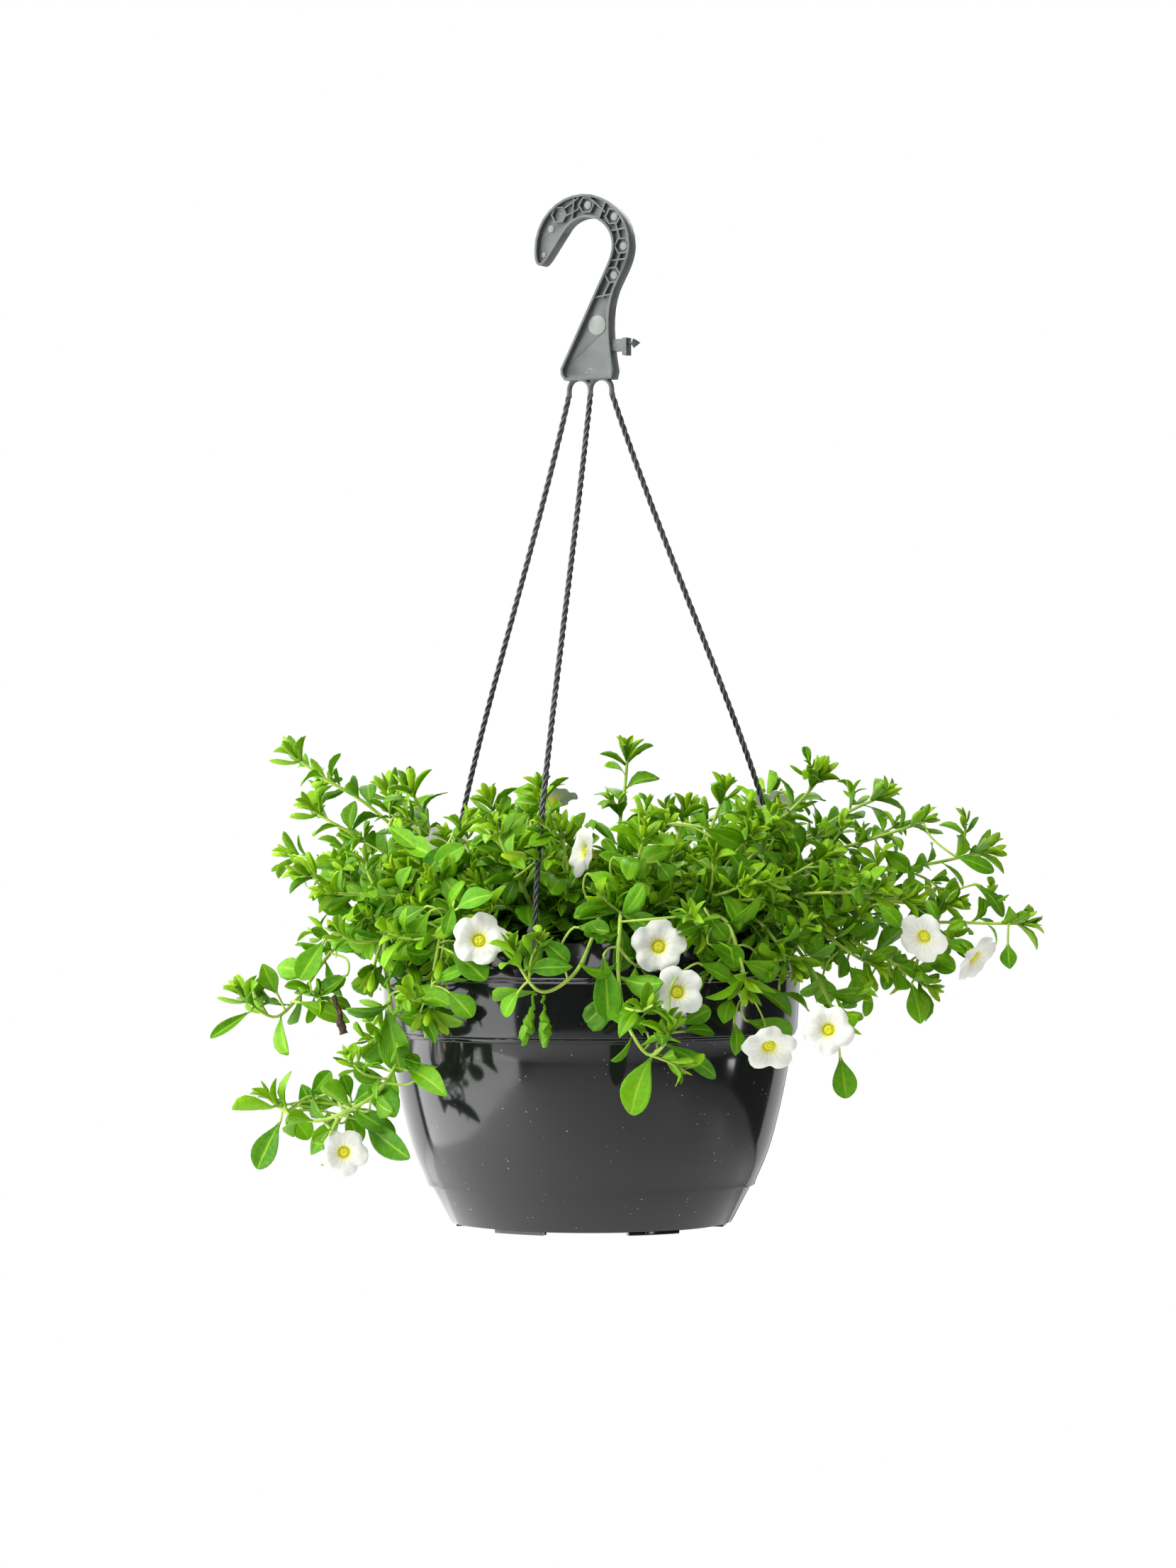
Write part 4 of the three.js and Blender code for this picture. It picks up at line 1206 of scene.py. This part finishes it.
def set_flower(index, mouth, faces, size, template, calyx, lines):
    draw = random.Random(500 + index)
    way = Vector(faces).normalized()
    turn = way.to_track_quat("Z", "Y").to_matrix().to_4x4()
    roll = Matrix.Rotation(draw.uniform(0, 2 * math.pi), 4, "Z")
    move = Matrix.Translation(place(*mouth)) @ turn @ roll @ Matrix.Scale(size, 4)
    number = f"{index + 1:02d}"
    flower = new_object("flower", template.data.copy())
    # no two flowers are ruffled alike
    for vertex in flower.data.vertices:
        out = math.hypot(vertex.co.x, vertex.co.y) / (FLOWER_R * MM)
        ruffle = noise.noise(vertex.co * 150 + Vector((index * 7.3, 0, 0)))
        vertex.co.z += ruffle * 3.2 * max(0, out - 0.3) * MM
        spot = Vector((vertex.co.x, vertex.co.y, 0)) * 90 + Vector((0, index * 5.1, 0))
        uneven = 1 + 0.1 * noise.noise(spot) * out
        vertex.co.x *= uneven
        vertex.co.y *= uneven
    flower.data.transform(move)
    hand_over(flower, f"flower_{number}_petals", PETAL_FINISH, "petals", f"flower_{number}")
    cup = new_object("cup", calyx.data.copy())
    cup.data.transform(move)
    foot = move @ Vector((0, 0, -18 * MM))
    joint = nearest_stem(foot, lines)
    gap = (foot - joint).length
    behind = foot - way * min(9 * MM, gap * 0.3)
    above = joint.lerp(foot, 0.3) + Vector((0, 0, 2 * MM))
    line = even_points(curved_through([foot, behind, above, joint]), 3 * MM)
    extra = []
    if gap > 30 * MM:
        ways = tangents(line)
        for i in range(3, len(line), 3):
            long = 14 + 10 * i / len(line)
            extra += leafy(draw, line[i], -ways[i], i * GOLDEN, long, 0.4, 0.4, BROAD, 0.45)
    green = join([cup, *extra])
    hand_over(green, f"flower_{number}_calyx", LEAF_FINISH, "foliage")
    lay_stems(f"flower_{number}_stalk", [line], [FLOWER_STALK_R * MM])


# ---- build ----
make_pot()
make_saucer()
make_hook()
for strand_side in CLIP_TURNS:
    make_strand(strand_side)
make_soil()
stem_lines = []
for index, tip in enumerate(TIPS):
    number = f"{index + 1:02d}"
    youngest = YOUNGEST_TRAILING_LEAF if tip in TRAILING_TIPS else YOUNGEST_LEAF
    bare = BARE_LOOP if tip == LOOPED_SHOOT else BARE
    name = f"shoot_{number}"
    stem_lines.append(grow_shoot(name, 100 + index, stem_line(tip), bare, OLDEST_LEAF, youngest, [name]))
for index, tip in enumerate([*FRONT_FILL_TIPS, *inner_tips()]):
    grow_shoot(f"inner_shoot_{index + 1:02d}", 300 + index, stem_line(tip), BARE_FILL, *FILL_LEAVES)
trumpet, sepals = model_flower(), model_calyx()
for index, (mouth, faces, size) in enumerate(FLOWERS):
    set_flower(index, mouth, faces, size, trumpet, sepals, stem_lines)
set_leaves(stem_lines)
make_bud(stem_lines)
make_withered()
for template in (*BROAD, *LARGE, *NARROW, trumpet, sepals):
    bpy.data.objects.remove(template)


# ---- studio: a pale floor well below the hanging pot, soft boxes, and a white surround ----
FLOOR_Z = -750
FLOOR_R = 2600


def make_floor():
    deselect_all()
    spot = place(0, 0, FLOOR_Z)
    bpy.ops.mesh.primitive_circle_add(vertices=96, radius=FLOOR_R * MM, fill_type="NGON", location=spot)
    floor = bpy.context.object
    settle(floor)
    floor.name = "floor"
    material, tree = new_material("pale_floor")
    shader = add(tree, "ShaderNodeBsdfPrincipled", Base_Color=tone("#f2f2f0"), Roughness=0.8)
    surface(tree, shader.outputs["BSDF"])
    floor.data.materials.append(material)


def soft_box(name, bearing, distance, height, size, power, aim_height=220):
    """An area light at a bearing round the pot, 0 being the camera's side and positive to its right."""
    data = bpy.data.lights.new(name, "AREA")
    data.shape = "RECTANGLE"
    data.size, data.size_y = size
    data.energy = power
    light = new_object(name, data)
    light.location = on_ring(bearing, distance, height)
    light.rotation_euler = (place(0, 0, aim_height) - light.location).to_track_quat("-Z", "Y").to_euler()
    light.visible_camera = False
    return light


make_floor()
soft_box("left_soft_box", -82, 1700, 330, (3.0, 2.2), 96)
soft_box("right_strip_near", 52, 2100, 420, (0.12, 1.8), 6)
soft_box("right_strip_far", 88, 2100, 420, (0.2, 1.8), 10)
soft_box("right_edge_box", 150, 2000, 420, (1.2, 2.0), 6)
soft_box("left_back_box", -152, 1900, 330, (1.8, 2.2), 22)
soft_box("rear_top_box", 172, 1500, 1500, (1.6, 1.2), 30)
soft_box("top_box", -50, 1200, 1900, (1.6, 1.6), 62)
soft_box("front_fill", 8, 3200, 1500, (1.6, 1.2), 27)
WHITE = (1, 1, 1, 1)
SURROUND_SEEN = 1.0
SURROUND_FELT = 0.06

world = bpy.data.worlds.new("white_surround")
world.use_nodes = True
bpy.context.scene.world = world
tree = world.node_tree
tree.nodes.clear()
seen = add(tree, "ShaderNodeBackground", Color=WHITE, Strength=SURROUND_SEEN)
felt = add(tree, "ShaderNodeBackground", Color=WHITE, Strength=SURROUND_FELT)
ray = add(tree, "ShaderNodeLightPath")
looked_at = ray.outputs["Is Camera Ray"]
choice = add(tree, "ShaderNodeMixShader", Fac=looked_at, _1=felt.outputs[0], _2=seen.outputs[0])
add(tree, "ShaderNodeOutputWorld", Surface=choice.outputs[0])
bpy.context.scene.view_settings.view_transform = "Standard"
bpy.context.scene.view_settings.look = "None"
